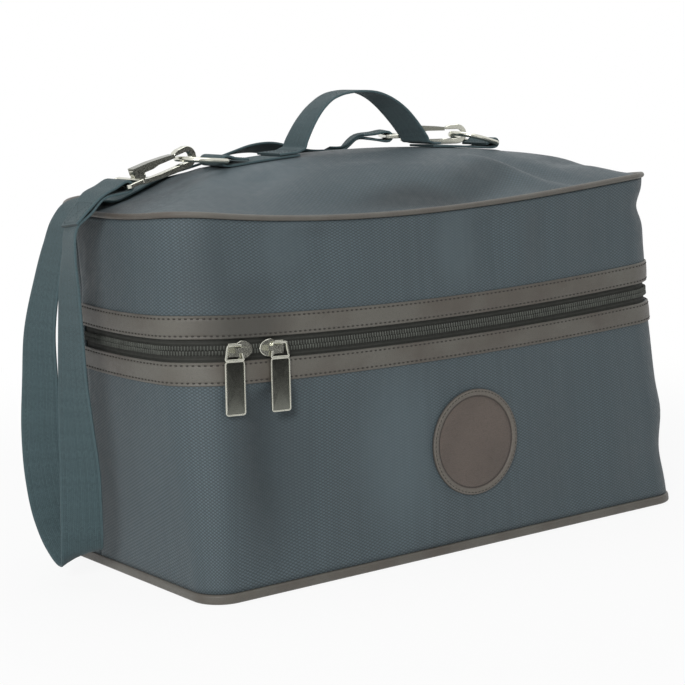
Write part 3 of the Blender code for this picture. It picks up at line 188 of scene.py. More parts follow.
# Hollows and swells of the top panel: x, y, half length, half width, turn in degrees, depth
CROWN_HOLLOWS = ((0.028, -0.078, 0.050, 0.015, 3.0, 0.0105), (0.082, -0.055, 0.034, 0.010, -42.0, -0.0045),
                 (0.112, -0.062, 0.032, 0.011, -38.0, 0.0060), (-0.085, -0.078, 0.045, 0.014, 0.0, 0.0060),
                 (-0.030, -0.050, 0.040, 0.012, -8.0, -0.0026), (-0.130, -0.040, 0.034, 0.012, 35.0, 0.0040),
                 (0.168, -0.040, 0.030, 0.012, 25.0, 0.0036), (0.020, 0.070, 0.060, 0.014, -4.0, 0.0050))

# Painted light and shade on the top panel, as soft ovals: x, y, half length, half width, turn in degrees, share,
# and how light or dark
TOP_PAINTED_LIGHT_AND_SHADE = ((-0.022, -0.079, 0.085, 0.017, -1.0, 0.90, 0.40), (0.055, -0.062, 0.056, 0.020, 14.0, 0.50, 0.40),
             (-0.135, -0.030, 0.075, 0.032, 8.0, 0.40, 1.40))
# and painted light and shade on the front: x, height, half width, half height, share, and how light or dark
FRONT_PAINTED_LIGHT_AND_SHADE = ((-0.168, 0.095, 0.056, 0.100, 0.62, 0.52), (-0.213, 0.222, 0.026, 0.056, 0.40, 0.52),
               (-0.182, 0.208, 0.032, 0.020, 0.45, 0.52), (-0.060, 0.085, 0.055, 0.090, 0.45, 1.40),
               (-0.150, 0.242, 0.030, 0.030, 0.42, 1.40), (0.002, 0.230, 0.030, 0.042, 0.42, 1.40))
# and painted shade on the upper trim: x, height, half width, half height, share, and how dark
TRIM_PAINTED_SHADE = ((-0.188, 0.192, 0.048, 0.030, 0.85, 0.45),)


def tone(red, green, blue):
    """A colour given as it shows on a screen, turned linear."""
    channel = np.array([red, green, blue]) / 255
    return tuple(np.where(channel < 0.04045, channel / 12.92, ((channel + 0.055) / 1.055) ** 2.4))


def mix(a, b, share):
    return a + (b - a) * share


def ease(x):
    """Smooth step from 0 to 1 as x goes from 0 to 1."""
    x = np.clip(x, 0.0, 1.0)
    return x * x * (3 - 2 * x)


def unit(vectors):
    return vectors / np.linalg.norm(vectors, axis=-1, keepdims=True)


def lengths(points):
    """Running length at each point of a line of points."""
    return np.concatenate([[0], np.cumsum(np.linalg.norm(np.diff(points, axis=0), axis=1))])


def circle(sides):
    """Angles of an even turn, as cosines and sines."""
    turn = np.arange(sides) * 2 * np.pi / sides
    return np.cos(turn), np.sin(turn)


def join_rows(rows):
    """Puts rows of origins and directions end to end."""
    return tuple(np.concatenate(part) for part in zip(*rows))


# Form of the body

def outline(t, height, out=0.0):
    """Point on the bag's outline. The outline is a rounded rectangle whose ten sides are numbered from the
    left seam round the front: t is the side plus the share along it. The rectangle shrinks with height,
    the top edge hangs between the corners by a parabola that grows with height, and out moves outwards."""
    t, height, out = np.broadcast_arrays(*(np.asarray(v, float) for v in (t, height, out)))
    t = np.mod(t, 10.0)
    side = np.minimum(t.astype(int), 9)
    s = t - side
    rise = height / EDGE_HEIGHT
    a = mix(LENGTH_BOTTOM, LENGTH_TOP, rise) / 2 + out
    b = mix(WIDTH_BOTTOM, WIDTH_TOP, rise) / 2 + out
    r = np.where(height < ZIP_HEIGHT, mix(CORNER_BOTTOM, CORNER_ZIP, height / ZIP_HEIGHT),
                 mix(CORNER_ZIP, CORNER_TOP, (height - ZIP_HEIGHT) / (EDGE_HEIGHT - ZIP_HEIGHT))) + out
    start = np.choose(side, [0, 180, 0, 270, 0, 0, 0, 0, 90, 0])
    cos, sin = np.cos(np.radians(start + 90 * s)), np.sin(np.radians(start + 90 * s))
    sx, sy, seam = a - r, b - r, SIDE_SEAM
    x = np.choose(side, [-a, -sx + r * cos, mix(-sx, sx, s), sx + r * cos, a, a, sx + r * cos, mix(sx, -sx, s),
                         -sx + r * cos, -a])
    y = np.choose(side, [mix(seam, -sy, s), -sy + r * sin, -b, -sy + r * sin, mix(-sy, seam, s), mix(seam, sy, s),
                         sy + r * sin, b, sy + r * sin, mix(sy, seam, s)])
    along, across = np.minimum(1, np.abs(x) / a) * np.where(x > 0, 1, -1), np.minimum(1, np.abs(y) / b)
    front = np.where(y < 0, 1 - along ** 2, 0)
    end = (1 - across ** 2) * along ** 4
    skew = 1 - FRONT_SAG_SKEW * rise ** 4 * along
    drop = rise ** SAG_POWER * (FRONT_SAG * front * skew + END_SAG * end)
    x = x + np.where(x > 0, 1, -1) * rise * END_BULGE * end
    return np.stack([x + LEAN * rise, y - rise * FRONT_BULGE * front, height - drop], -1)


def spaced(span, height, step, out=0.0, offset=0.0):
    """Stations an equal length apart on the outline, found by turning its running length round."""
    dense = np.linspace(*span, DENSE)
    run = lengths(outline(dense, height, out))
    count = max(2, round((run[-1] - offset) / step))
    return np.interp(offset + (run[-1] - offset) * np.arange(count + 1) / count, run, dense)


def running(t, height=ZIP_HEIGHT):
    """Length along the outline from the left seam to stations t."""
    dense = np.linspace(0, SIDES, DENSE)
    return np.interp(t, dense, lengths(outline(dense, height)))


def wall_axes(t, height, out=0.0):
    """Places on the wall with their directions along it, up it and out of it."""
    along = unit(outline(t + NEARBY, height, out) - outline(t - NEARBY, height, out))
    up = unit(outline(t, height + NEARBY, out) - outline(t, height - NEARBY, out))
    outward = unit(np.cross(along, up))
    return outline(t, height, out), along, np.cross(outward, along), outward


def front_station(x, height):
    straight = mix(LENGTH_BOTTOM, LENGTH_TOP, height / EDGE_HEIGHT) / 2 - np.where(
        height < ZIP_HEIGHT, mix(CORNER_BOTTOM, CORNER_ZIP, height / ZIP_HEIGHT), CORNER_ZIP)
    return 2 + (x - LEAN * height / EDGE_HEIGHT + straight) / (2 * straight)


def ripples(points, seed, size):
    """A soft unevenness between about -1 and 1: the sum of nine waves whose directions come from a seed."""
    random = np.random.default_rng(seed)
    total = np.zeros(points.shape[:-1])
    for _ in range(9):
        direction = unit(random.normal(size=3)) / (size * random.uniform(0.6, 1.6))
        total = total + np.sin(points @ direction * 2 * np.pi + random.uniform(0, 2 * np.pi))
    return total / 4.5


def slump(t, height, low, high):
    """How far the cloth stands out from its plain form: soft waves and the front's hollows, faded out
    near the panel's low and high edges and round the patch."""
    place = outline(t, height)
    depth = look().dent_depth * ripples(place, *WALL_WAVES)
    front = place[..., 1] < FRONT_FROM
    for x, z, wide, tall, deep in FRONT_HOLLOWS:
        hollow = np.exp(-((place[..., 0] - x) / wide) ** 2 - ((place[..., 2] - z) / tall) ** 2)
        depth = depth - np.where(front, deep * hollow, 0)
    from_patch = np.hypot(place[..., 0] - PATCH_X, place[..., 2] - PATCH_Z) - PATCH_RADIUS
    depth = depth * np.where(front, ease((from_patch + PATCH_STILL) / PATCH_FADE), 1)
    return depth * ease((height - low) / EDGE_FADE) * ease((high - height) / EDGE_FADE)


def crest(x):
    return EDGE_HEIGHT + CREST_RISE - CREST_DROP * ((x - CREST_MIDDLE) / (LENGTH_TOP / 2)) ** 2


def crown_reach():
    return (LENGTH_TOP - WIDTH_TOP) / 2


def crown_z(middle, edge, share, drop=0.0):
    """Height of the crown between its middle line, share 0, and its edge, share 1: a power curve in the
    share, fuller towards the right end than across."""
    towards = edge[..., :2] - middle
    endward = (np.abs(towards[..., 0]) / np.linalg.norm(towards, axis=-1)) ** 2
    power = mix(SIDE_ROUND, np.where(towards[..., 0] < 0, LEFT_ROUND, RIGHT_ROUND), endward)
    x = mix(middle[..., 0], edge[..., 0], share)
    return edge[..., 2] + (crest(x) - drop - edge[..., 2]) * (1 - share ** power)


def crown_dent(points, share):
    """Soft waves, hollows and swells of the top panel, faded out at its edge and under the webbing, where
    the cloth swells instead until it meets the flat tabs."""
    x, y = points[..., 0], points[..., 1]
    middle = ease((np.abs(y - HELD_MIDDLE) - HELD_HALF) / HELD_FADE)
    waves = look().crown_dent * ripples(points, *TOP_WAVES) * ease((1 - share) / 0.16)
    for place, aside, long, wide, turn, deep in CROWN_HOLLOWS:
        cos, sin = math.cos(math.radians(turn)), math.sin(math.radians(turn))
        along, across = (x - place) * cos + (y - aside) * sin, (y - aside) * cos - (x - place) * sin
        waves = waves - deep * np.exp(-(along / long) ** 2 - (across / wide) ** 2) * ease((1 - share) / 0.07)
    seat = 0.0004 + 0.0007 * np.minimum(1, np.abs(y) / (WEBBING_WIDTH / 2)) ** 2
    seat = seat * ease((0.034 - np.abs(y)) / 0.016)
    held = ease((x - RING_LEFT + TAB_FADE) / TAB_FADE) * ease((RING_RIGHT + TAB_FADE - x) / TAB_FADE)
    return waves * middle + seat * held


def stations(per_side=16):
    """Stations round the outline: more on the long sides than on the corners, fewer on the short ends."""
    half, third, long = per_side // 2, per_side // 3, per_side * 5
    counts = (half, per_side, long, per_side, half, third, per_side, long, per_side, third)
    return np.concatenate([side + np.arange(count) / count for side, count in enumerate(counts)])


def crown_grid(out, height, shares, drop=0.0, flat=None, per_side=16):
    """Rows of the outline drawn in to the crown's middle line, one row for each share."""
    t = stations(per_side)
    edge = outline(t, height, out)
    middle = np.stack([np.clip(edge[:, 0], LEAN - crown_reach(), LEAN + crown_reach()), 0 * t], -1)
    rows = []
    for share in shares:
        place = mix(middle, edge[:, :2], share)
        if flat is None:
            z = crown_z(middle, edge, share, drop) + crown_dent(np.column_stack([place, 0 * t]), share)
        else:
            z = np.full(len(t), flat)
        rows.append(np.column_stack([place, z]))
    return np.array(rows)


EDGE_STATIONS = np.linspace(0, 10, 241)[:-1]
CROWN_EDGE = outline(EDGE_STATIONS, EDGE_HEIGHT)


def crown_height(x, y):
    """Height of the top panel at a place on it: the ray from the middle line through the place meets the
    edge, and the share along the ray goes into the crown's curve."""
    middle = np.array([min(LEAN + crown_reach(), max(LEAN - crown_reach(), x)), 0.0])
    ray = np.array([x, y]) - middle
    if np.linalg.norm(ray) < 0.0001:
        return float(crest(x))
    p, q = CROWN_EDGE, np.roll(CROWN_EDGE, -1, axis=0)
    side = q[:, :2] - p[:, :2]
    cross = ray[0] * side[:, 1] - ray[1] * side[:, 0]
    cross = np.where(np.abs(cross) < 1e-12, 1e-12, cross)
    start = p[:, :2] - middle
    reach = (start[:, 0] * side[:, 1] - start[:, 1] * side[:, 0]) / cross
    along = (start[:, 0] * ray[1] - start[:, 1] * ray[0]) / cross
    hit = np.argmax((reach > 0) & (along > -1e-6) & (along < 1 + 1e-6))
    edge = mix(p[hit], q[hit], along[hit])
    return float(crown_z(middle, edge, min(1.0, 1 / reach[hit])))


def crest_point(x, y=0.0, lift=0.0, across=(0.0, -1.0)):
    """A place on the top panel, lifted square to it, with the direction across laid on the panel."""
    turn = unit(np.array(across, float))
    side, ahead = turn * WEBBING_WIDTH / 2, np.array([-turn[1], turn[0]]) * 0.002
    here = crown_height(x, y)
    slope = crown_height(x + side[0], y + side[1]) - crown_height(x - side[0], y - side[1])
    laid = unit(np.array([2 * side[0], 2 * side[1], slope]))
    along = unit(np.array([*ahead, crown_height(x + ahead[0], y + ahead[1]) - here]))
    normal = unit(np.cross(laid, along))
    normal = normal * np.sign(normal[2])
    return np.array([x, y, here]) + normal * lift, laid


# Meshes

def put(name, points, faces, corner_uv=None, sharp=35.0):
    """A mesh object from arrays: points, faces as a list of equal-sided index arrays, and one UV a corner."""
    mesh = bpy.data.meshes.new(name)
    loops = np.concatenate([block.ravel() for block in faces]).astype(np.int32)
    sizes = np.concatenate([np.full(len(block), block.shape[1]) for block in faces])
    starts = np.concatenate([[0], np.cumsum(sizes)[:-1]]).astype(np.int32)
    mesh.vertices.add(len(points))
    mesh.vertices.foreach_set("co", np.ascontiguousarray(points, np.float32).ravel())
    mesh.loops.add(len(loops))
    mesh.loops.foreach_set("vertex_index", loops)
    mesh.polygons.add(len(starts))
    mesh.polygons.foreach_set("loop_start", starts)
    mesh.update(calc_edges=True)
    if corner_uv is not None:
        layer = mesh.uv_layers.new(name="cloth")
        layer.data.foreach_set("uv", np.concatenate(corner_uv).astype(np.float32).ravel())
    mesh.polygons.foreach_set("use_smooth", np.ones(len(starts), bool))
    if sharp is not None:
        mesh.set_sharp_from_angle(angle=math.radians(sharp))
    made = bpy.data.objects.new(name, mesh)
    bpy.context.scene.collection.objects.link(made)
    return made


def outward_order(points, faces):
    """Turns all faces round where the closed form's volume, summed over its faces, comes out negative."""
    volume = 0.0
    for block in faces:
        corners = points[block]
        for k in range(1, block.shape[1] - 1):
            volume += np.einsum("ij,ij->", corners[:, 0], np.cross(corners[:, k], corners[:, k + 1]))
    return volume < 0


def grid(name, points, u=None, v=None, uv=None, round_i=False, round_j=False, caps=False, closed=True, turn=False):
    """A surface on a grid of points with two parameters, either of which may come round to its start.
    u and v give the cloth's measure along each parameter, one value more than points where it comes round."""
    n, k = points.shape[:2]
    i, j = np.meshgrid(np.arange(n - (not round_i)), np.arange(k - (not round_j)), indexing="ij")
    ring = [(i, j), (i + 1, j), (i + 1, j + 1), (i, j + 1)]
    faces = [np.stack([(a % n) * k + b % k for a, b in ring], -1).reshape(-1, 4)]
    if uv is None:
        corner = [np.stack([np.stack([u[a], v[b]], -1) for a, b in ring], -2).reshape(-1, 2)]
    else:
        corner = [np.stack([uv[a % n, b % k] for a, b in ring], -2).reshape(-1, 2)]
    if caps:
        around = np.arange(k)
        faces.append(np.stack([around[::-1], (n - 1) * k + around]))
        corner.append(np.zeros((2 * k, 2)))
    flat = points.reshape(-1, 3)
    if turn or (closed and outward_order(flat, faces)):
        faces = [block[:, ::-1] for block in faces]
        corner = [part.reshape(len(block), -1, 2)[:, ::-1].reshape(-1, 2) for part, block in zip(corner, faces)]
    return put(name, flat, faces, corner)


def flip_towards(made, sign):
    """Turns an open sheet's faces round where they look the other way along Z."""
    mesh = made.data
    total = sum(face.normal.z * face.area for face in mesh.polygons)
    if total * sign < 0:
        mesh.flip_normals()
    return made


def merged(made):
    """Joins the places where a surface closes on itself."""
    builder = bmesh.new()
    builder.from_mesh(made.data)
    bmesh.ops.remove_doubles(builder, verts=builder.verts, dist=TOUCH)
    bmesh.ops.dissolve_degenerate(builder, edges=builder.edges, dist=TOUCH / 10)
    builder.to_mesh(made.data)
    builder.free()
    return made


def thick(made, thickness, offset=-1.0):
    solid = made.modifiers.new("thickness", "SOLIDIFY")
    solid.thickness = thickness
    solid.offset = offset
    return made


def scatter(name, shape, faces, origins, axes):
    """Many copies of one small shape, each turned by its own three directions."""
    points = origins[:, None, :] + np.einsum("vk,nkd->nvd", shape, axes)
    shift = np.arange(len(origins))[:, None, None] * len(shape)
    blocks = [(block[None] + shift).reshape(-1, block.shape[1]) for block in faces]
    return put(name, points.reshape(-1, 3), blocks, sharp=50.0)


def spindle(length, width, height, rings, sides, sink=0.0):
    """A rounded bar along its first direction. rings are (share along, share of the width) and the middle
    stands above the ends by an arch of depth sink. Returns points and faces."""
    points = [[along * length / 2, width / 2 * size * cos, height / 2 * size * sin - sink * along * along]
              for along, size in rings for cos, sin in zip(*circle(sides))]
    faces = [[r * sides + k, r * sides + (k + 1) % sides, (r + 1) * sides + (k + 1) % sides, (r + 1) * sides + k]
             for r in range(len(rings) - 1) for k in range(sides)]
    ends = [list(range(sides))[::-1], [(len(rings) - 1) * sides + k for k in range(sides)]]
    points, faces, ends = np.array(points), np.array(faces), np.array(ends)
    if outward_order(points, [faces, ends]):
        faces, ends = faces[:, ::-1], ends[:, ::-1]
    return points, [faces, ends]


def smooth_path(points, across, step):
    """A curve through points, resampled at equal steps: cubic pieces whose slopes come from each point's
    neighbours. The direction across turns evenly between the points."""
    points, across = np.array(points, float), np.array(across, float)
    knots = lengths(points)
    slopes = np.gradient(points, knots, axis=0)
    count = max(8, round(knots[-1] / step))
    at = np.linspace(0, knots[-1], count + 1)
    k = np.clip(np.searchsorted(knots, at, "right") - 1, 0, len(knots) - 2)
    span = knots[k + 1] - knots[k]
    s = ((at - knots[k]) / span)[:, None]
    span = span[:, None]
    curve = ((2 * s ** 3 - 3 * s ** 2 + 1) * points[k] + (s ** 3 - 2 * s ** 2 + s) * span * slopes[k]
             + (3 * s ** 2 - 2 * s ** 3) * points[k + 1] + (s ** 3 - s ** 2) * span * slopes[k + 1])
    turned = np.stack([np.interp(at, knots, across[:, axis]) for axis in range(3)], -1)
    return curve, unit(turned)


def path_axes(curve, across, closed=False):
    """Directions across and out of a path."""
    if closed:
        along = unit(np.roll(curve, -1, axis=0) - np.roll(curve, 1, axis=0))
    else:
        along = unit(np.gradient(curve, axis=0))
    across = unit(across - np.einsum("ij,ij->i", across, along)[:, None] * along)
    return across, np.cross(across, along)


def rounded_box(half_u, half_v, radius, corner=3, flat=5):
    """A closed outline: a rectangle with round corners, its long sides divided."""
    points = []
    for cu, cv, start in ((1, 1, 0), (-1, 1, 90), (-1, -1, 180), (1, -1, 270)):
        for a in np.radians(start + np.linspace(0, 90, corner)):
            points.append((cu * (half_u - radius) + radius * math.cos(a),
                           cv * (half_v - radius) + radius * math.sin(a)))
        if start in (0, 180):
            for share in np.linspace(0, 1, flat + 1)[1:-1]:
                points.append((mix(cu, -cu, share) * (half_u - radius), cv * half_v))
    return np.array(points)


def round_section(radius, sides=16):
    return radius * np.stack(circle(sides), -1)


def carried(curve, side, out, section):
    """The section's points at each place of a path."""
    return curve[:, None] + side[:, None] * section[None, :, :1] + out[:, None] * section[None, :, 1:]


def sweep(name, curve, across, section, closed=False):
    """A closed section carried along a path: its first measure lies across, its second out of the path."""
    points = carried(curve, *path_axes(curve, across, closed), section)
    u = lengths(np.concatenate([curve, curve[:1]]) if closed else curve)
    v = lengths(np.concatenate([section, section[:1]]))
    return grid(name, points, u, v, round_i=closed, round_j=True, caps=not closed)


def ribbon(name, points, across, step):
    """Webbing along a path. Its UV is the length along it and the place across it, both in metres."""
    curve, side = smooth_path(points, across, step)
    section = rounded_box(WEBBING_WIDTH / 2, WEBBING / 2, WEBBING * 0.42, 3, 8)
    side, out = path_axes(curve, side)
    run = lengths(curve)
    uv = np.stack(np.broadcast_arrays(run[:, None], section[None, :, 0]), -1)
    made = grid(name, carried(curve, side, out, section), uv=uv, round_j=True, caps=True)
    return made, (curve, side, out, run)


def on_ribbon(laid, along, across, lift):
    """Places on a ribbon's face, with their directions, from the length along it and the place across it."""
    curve, side, out, run = laid
    at = [np.stack([np.interp(along, run, part[:, axis]) for axis in range(3)], -1) for part in (curve, side, out)]
    place, side, out = at[0], unit(at[1]), unit(at[2])
    ahead = np.cross(side, out) * -1
    return place + side * np.asarray(across)[:, None] + out * lift, ahead, side, out


# Materials

class Nodes:
    """A node tree with short calls for what materials are made of."""

    def __init__(self, tree):
        self.tree = tree

    def feed(self, socket, value):
        """Links another node's socket to this one, or sets its value."""
        if isinstance(value, bpy.types.NodeSocket):
            self.tree.links.new(value, socket)
        else:
            socket.default_value = value

    def add(self, kind, sockets, **settings):
        made = self.tree.nodes.new("ShaderNode" + kind)
        for key, value in settings.items():
            setattr(made, key, value)
        for key, value in sockets.items():
            self.feed(made.inputs[key], value)
        return made

    def use(self, kind, vector, **sockets):
        """One of the shared node groups, made the first time it is asked for."""
        if kind not in GROUPS:
            GROUPS[kind] = MAKERS[kind]()
        made = self.tree.nodes.new("ShaderNodeGroup")
        made.node_tree = GROUPS[kind]
        self.feed(made.inputs["Vector"], vector)
        for key, value in sockets.items():
            self.feed(made.inputs[key.replace("_", " ")], value)
        return made.outputs

    def maths(self, operation, first, second=0.0, third=0.0):
        return self.add("Math", {0: first, 1: second, 2: third}, operation=operation).outputs[0]

    def times(self, first, second):
        return self.maths("MULTIPLY", first, second)

    def line(self, value, slope, start):
        return self.maths("MULTIPLY_ADD", value, slope, start)

    def ramp(self, value, low, high, to_low=0.0, to_high=1.0):
        return self.add("MapRange", {0: value, 1: low, 2: high, 3: to_low, 4: to_high},
                        interpolation_type="SMOOTHSTEP").outputs[0]

    def tint(self, share, first, second):
        """The first colour turned into the second by a share."""
        made = self.add("Mix", {0: share}, data_type="RGBA")
        for key, value in ((6, first), (7, second)):
            self.feed(made.inputs[key], (*value, 1.0) if isinstance(value, tuple) else value)
        return made.outputs[2]

    def length(self, vector):
        return self.add("VectorMath", {0: vector}, operation="LENGTH").outputs["Value"]

    def noise(self, vector, scale, detail, **sockets):
        return self.add("TexNoise", {"Vector": vector, "Scale": scale, "Detail": detail, **sockets}).outputs[0]


class Finish(Nodes):
    """A material in the making: its shader, its plain colour and its colour so far, and the cloth's own UV
    and the object's coordinates as vectors."""

    def __init__(self, name, base, **plain):
        self.material = bpy.data.materials.new(name)
        self.material.use_nodes = True
        super().__init__(self.material.node_tree)
        self.shader = self.tree.nodes["Principled BSDF"]
        for key, value in plain.items():
            self.shader.inputs[key.replace("_", " ")].default_value = value
        coordinates = self.tree.nodes.new("ShaderNodeTexCoord").outputs
        self.uv, self.here = coordinates["UV"], coordinates["Object"]
        self.base = self.colour = base

    def shade(self, factor):
        return tuple(part * factor for part in self.base)

    def between(self, share, first, second):
        """Starts the colour between two tones of the plain one."""
        self.colour = self.tint(share, self.shade(first), self.shade(second))

    def over(self, mask, share, factor):
        """Lays a tone of the plain colour over the colour so far, by a mask and a share of it."""
        self.colour = self.tint(self.times(mask, share), self.colour, self.shade(factor))

    def paint_light_and_shade(self, painted_ovals):
        """Paints light and shade into the colour: soft ovals of lighter or darker tone where light or shade falls.
        """
        for middle, size, turn, share, factor in painted_ovals:
            painted_oval = self.use("Mark", self.here, Middle=middle, Turn=turn, Half_Size=size, Share=share)
            self.colour = self.tint(painted_oval["Mask"], self.colour, self.shade(factor))

    def done(self, rough=None, height=None, distance=1.0, strength=1.0):
        """Gives the shader its colour, roughness and relief, and returns the material."""
        inputs = self.shader.inputs
        self.feed(inputs["Base Color"], self.colour)
        if height is not None:
            self.feed(inputs["Roughness"], rough)
            relief = self.add("Bump", {"Height": height, "Distance": distance, "Strength": strength})
            self.feed(inputs["Normal"], relief.outputs["Normal"])
        return self.material


def group(name, takes, gives):
    """A node group with named sockets, where None or three values make a vector. Returns its tree and its
    inner ends."""
    tree = bpy.data.node_groups.new(name, "ShaderNodeTree")
    for label, value in takes.items():
        kind = "Float" if isinstance(value, float) else "Vector"
        socket = tree.interface.new_socket(label, in_out="INPUT", socket_type="NodeSocket" + kind)
        if value is not None:
            socket.default_value = value
    for label in gives:
        tree.interface.new_socket(label, in_out="OUTPUT", socket_type="NodeSocketFloat")
    return Nodes(tree), tree.nodes.new("NodeGroupInput").outputs, tree.nodes.new("NodeGroupOutput").inputs


def weave_group():
    """Threads over and under each other. Height is a pillow where a thread lies on top, Over tells which
    way that thread runs, and Thread is a value of its own for each thread."""
    nodes, take, give = group("Weave", {"Vector": None, "Warp Pitch": 0.001, "Weft Pitch": 0.001},
                              ("Height", "Over", "Thread"))
    apart = nodes.add("SeparateXYZ", {0: take["Vector"]}).outputs
    places = [nodes.maths("DIVIDE", apart[k], take[pitch]) for k, pitch in enumerate(("Warp Pitch", "Weft Pitch"))]
    cells = nodes.maths("ADD", *(nodes.maths("FLOOR", place) for place in places))
    over = nodes.maths("ABSOLUTE", nodes.maths("MODULO", cells, 2.0))
    waves = [nodes.maths("ABSOLUTE", nodes.maths("SINE", nodes.times(place, math.pi))) for place in places]
    across = [nodes.maths("POWER", wave, 0.45) for wave in waves]
    along = [nodes.line(wave, 0.45, 0.55) for wave in waves]
    warp, weft = nodes.times(across[0], along[1]), nodes.times(across[1], along[0])
    nodes.feed(give["Height"], nodes.add("Mix", {0: over, 2: warp, 3: weft}).outputs[0])
    nodes.feed(give["Over"], over)
    counts = [nodes.maths("FLOOR", place) for place in places]
    number = nodes.add("Mix", {0: over, 2: counts[0], 3: counts[1]}).outputs[0]
    number = nodes.maths("ADD", number, nodes.times(over, WEFT_SEED))
    thread = nodes.add("TexWhiteNoise", {"W": number}, noise_dimensions="1D")
    nodes.feed(give["Thread"], thread.outputs["Value"])
    return nodes.tree


def grain_group():
    """Leather's fine cells with creases between them. Height is the relief and Pores a mask of its low places."""
    nodes, take, give = group("Grain", {"Vector": None, "Scale": 900.0}, ("Height", "Pores"))
    cells = nodes.add("TexVoronoi", {"Vector": take["Vector"], "Scale": take["Scale"]}, feature="DISTANCE_TO_EDGE")
    crease = nodes.ramp(cells.outputs["Distance"], 0.0, 0.16)
    fine = nodes.noise(take["Vector"], nodes.times(take["Scale"], 0.45), 4.0)
    nodes.feed(give["Height"], nodes.line(crease, 0.6, fine))
    nodes.feed(give["Pores"], nodes.maths("SUBTRACT", 1.0, crease))
    return nodes.tree


def clouds_group():
    """Broad and fine unevenness of colour, each between 0 and 1 about a half."""
    nodes, take, give = group("Clouds", {"Vector": None, "Size": 0.05}, ("Broad", "Fine"))
    scale = nodes.maths("DIVIDE", 1.0, take["Size"])
    for label, finer in (("Broad", 1.0), ("Fine", 14.0)):
        made = nodes.noise(take["Vector"], nodes.times(scale, finer), 3.0)
        nodes.feed(give[label], nodes.ramp(made, 0.3, 0.7))
    return nodes.tree


def wear_group():
    """Rubbed places: broken patches of a noise, stronger where Amount is high."""
    nodes, take, give = group("Wear", {"Vector": None, "Size": 0.01, "Amount": 0.3}, ("Mask",))
    scale = nodes.maths("DIVIDE", 1.0, take["Size"])
    broken = nodes.noise(take["Vector"], scale, 6.0, Roughness=0.7)
    level = nodes.maths("SUBTRACT", 0.78, nodes.times(take["Amount"], 0.4))
    nodes.feed(give["Mask"], nodes.ramp(broken, level, nodes.maths("ADD", level, 0.12)))
    return nodes.tree


def painted_oval_group():
    """A soft oval that masks painted light and shade: the place is taken from its middle, turned and divided
    by its half sizes, and the share fades from a quarter of the way out to the rim."""
    nodes, take, give = group("Mark", {"Vector": None, "Middle": None, "Turn": None, "Half Size": (1, 1, 1),
                                       "Share": 0.5}, ("Mask",))
    flat = nodes.add("Mapping", {"Vector": take["Vector"], "Location": take["Middle"], "Rotation": take["Turn"],
                                 "Scale": take["Half Size"]}, vector_type="TEXTURE").outputs[0]
    nodes.feed(give["Mask"], nodes.ramp(nodes.length(flat), 1.0, 0.25, 0.0, take["Share"]))
    return nodes.tree


MAKERS = {"Weave": weave_group, "Grain": grain_group, "Clouds": clouds_group, "Wear": wear_group,
          "Mark": painted_oval_group}
GROUPS = {}


def make_fabric(name, base, share, painted_ovals):
    """Coarse coated weave: pillows of thread, lighter where the warp lies on top, with dark gaps, and soft
    clouds of colour. share says how strongly the weave is drawn."""
    cloth = Finish(name, base, Sheen_Weight=0.04, Sheen_Roughness=0.5, Specular_IOR_Level=0.35)
    weave = cloth.use("Weave", cloth.uv, Warp_Pitch=look().weave_pitch, Weft_Pitch=look().weave_rise)
    clouds = cloth.use("Clouds", cloth.here, Size=0.07)
    contrast = look().weave_contrast * share
    cloth.between(weave["Over"], 1.0 + contrast, 1.0 - contrast)
    cloth.over(weave["Thread"], 0.30, 0.7)
    relief = cloth.ramp(weave["Height"], 0.05, 0.6)
    cloth.colour = cloth.tint(relief, cloth.shade(1.0 - 0.50 * share), cloth.colour)
    cloth.over(clouds["Broad"], 0.16, 0.74)
    cloth.over(clouds["Fine"], 0.10, 1.3)
    # Painted light and shade: soft ovals lighter or darker where light or shade falls on the cloth
    cloth.paint_light_and_shade(painted_ovals)
    return cloth.done(cloth.line(clouds["Fine"], 0.12, 0.50), weave["Height"], 0.00030, 0.8 * share)


def front_painted_ovals(painted_ovals):
    """Painted light and shade on the front only: their ovals reach no further back than its slope does."""
    return [((x, -0.1, z), (wide, 0.12, tall), (0, 0, 0), share, factor)
            for x, z, wide, tall, share, factor in painted_ovals]


def top_painted_ovals(painted_ovals):
    """Painted light and shade on the top panel, at whatever height it has."""
    return [((x, y, 0), (long, wide, 1e6), (0, 0, math.radians(turn)), share, factor)
            for x, y, long, wide, turn, share, factor in painted_ovals]


def make_leather(name, base, scale, relief, worn, painted_ovals=()):
    """Leatherette: fine grain, darker pores and lighter rubbed places."""
    hide = Finish(name, base, Sheen_Weight=0.05, Coat_Roughness=0.35)
    grain = hide.use("Grain", hide.here, Scale=scale)
    clouds = hide.use("Clouds", hide.here, Size=0.05)
    wear = hide.use("Wear", hide.here, Size=0.012, Amount=worn)
    warm = (base[0] * 0.74, base[1] * 0.66, base[2] * 0.63)
    hide.colour = hide.tint(clouds["Broad"], warm, hide.shade(1.10))
    hide.over(grain["Pores"], 0.45, 0.5)
    hide.over(wear["Mask"], 0.35, 1.7)
    # Painted shade: soft ovals darker where shade falls on the trim
    hide.paint_light_and_shade(painted_ovals)
    rough = hide.line(wear["Mask"], 0.12, hide.line(clouds["Fine"], 0.10, 0.42))
    return hide.done(rough, grain["Height"], relief, 0.7)


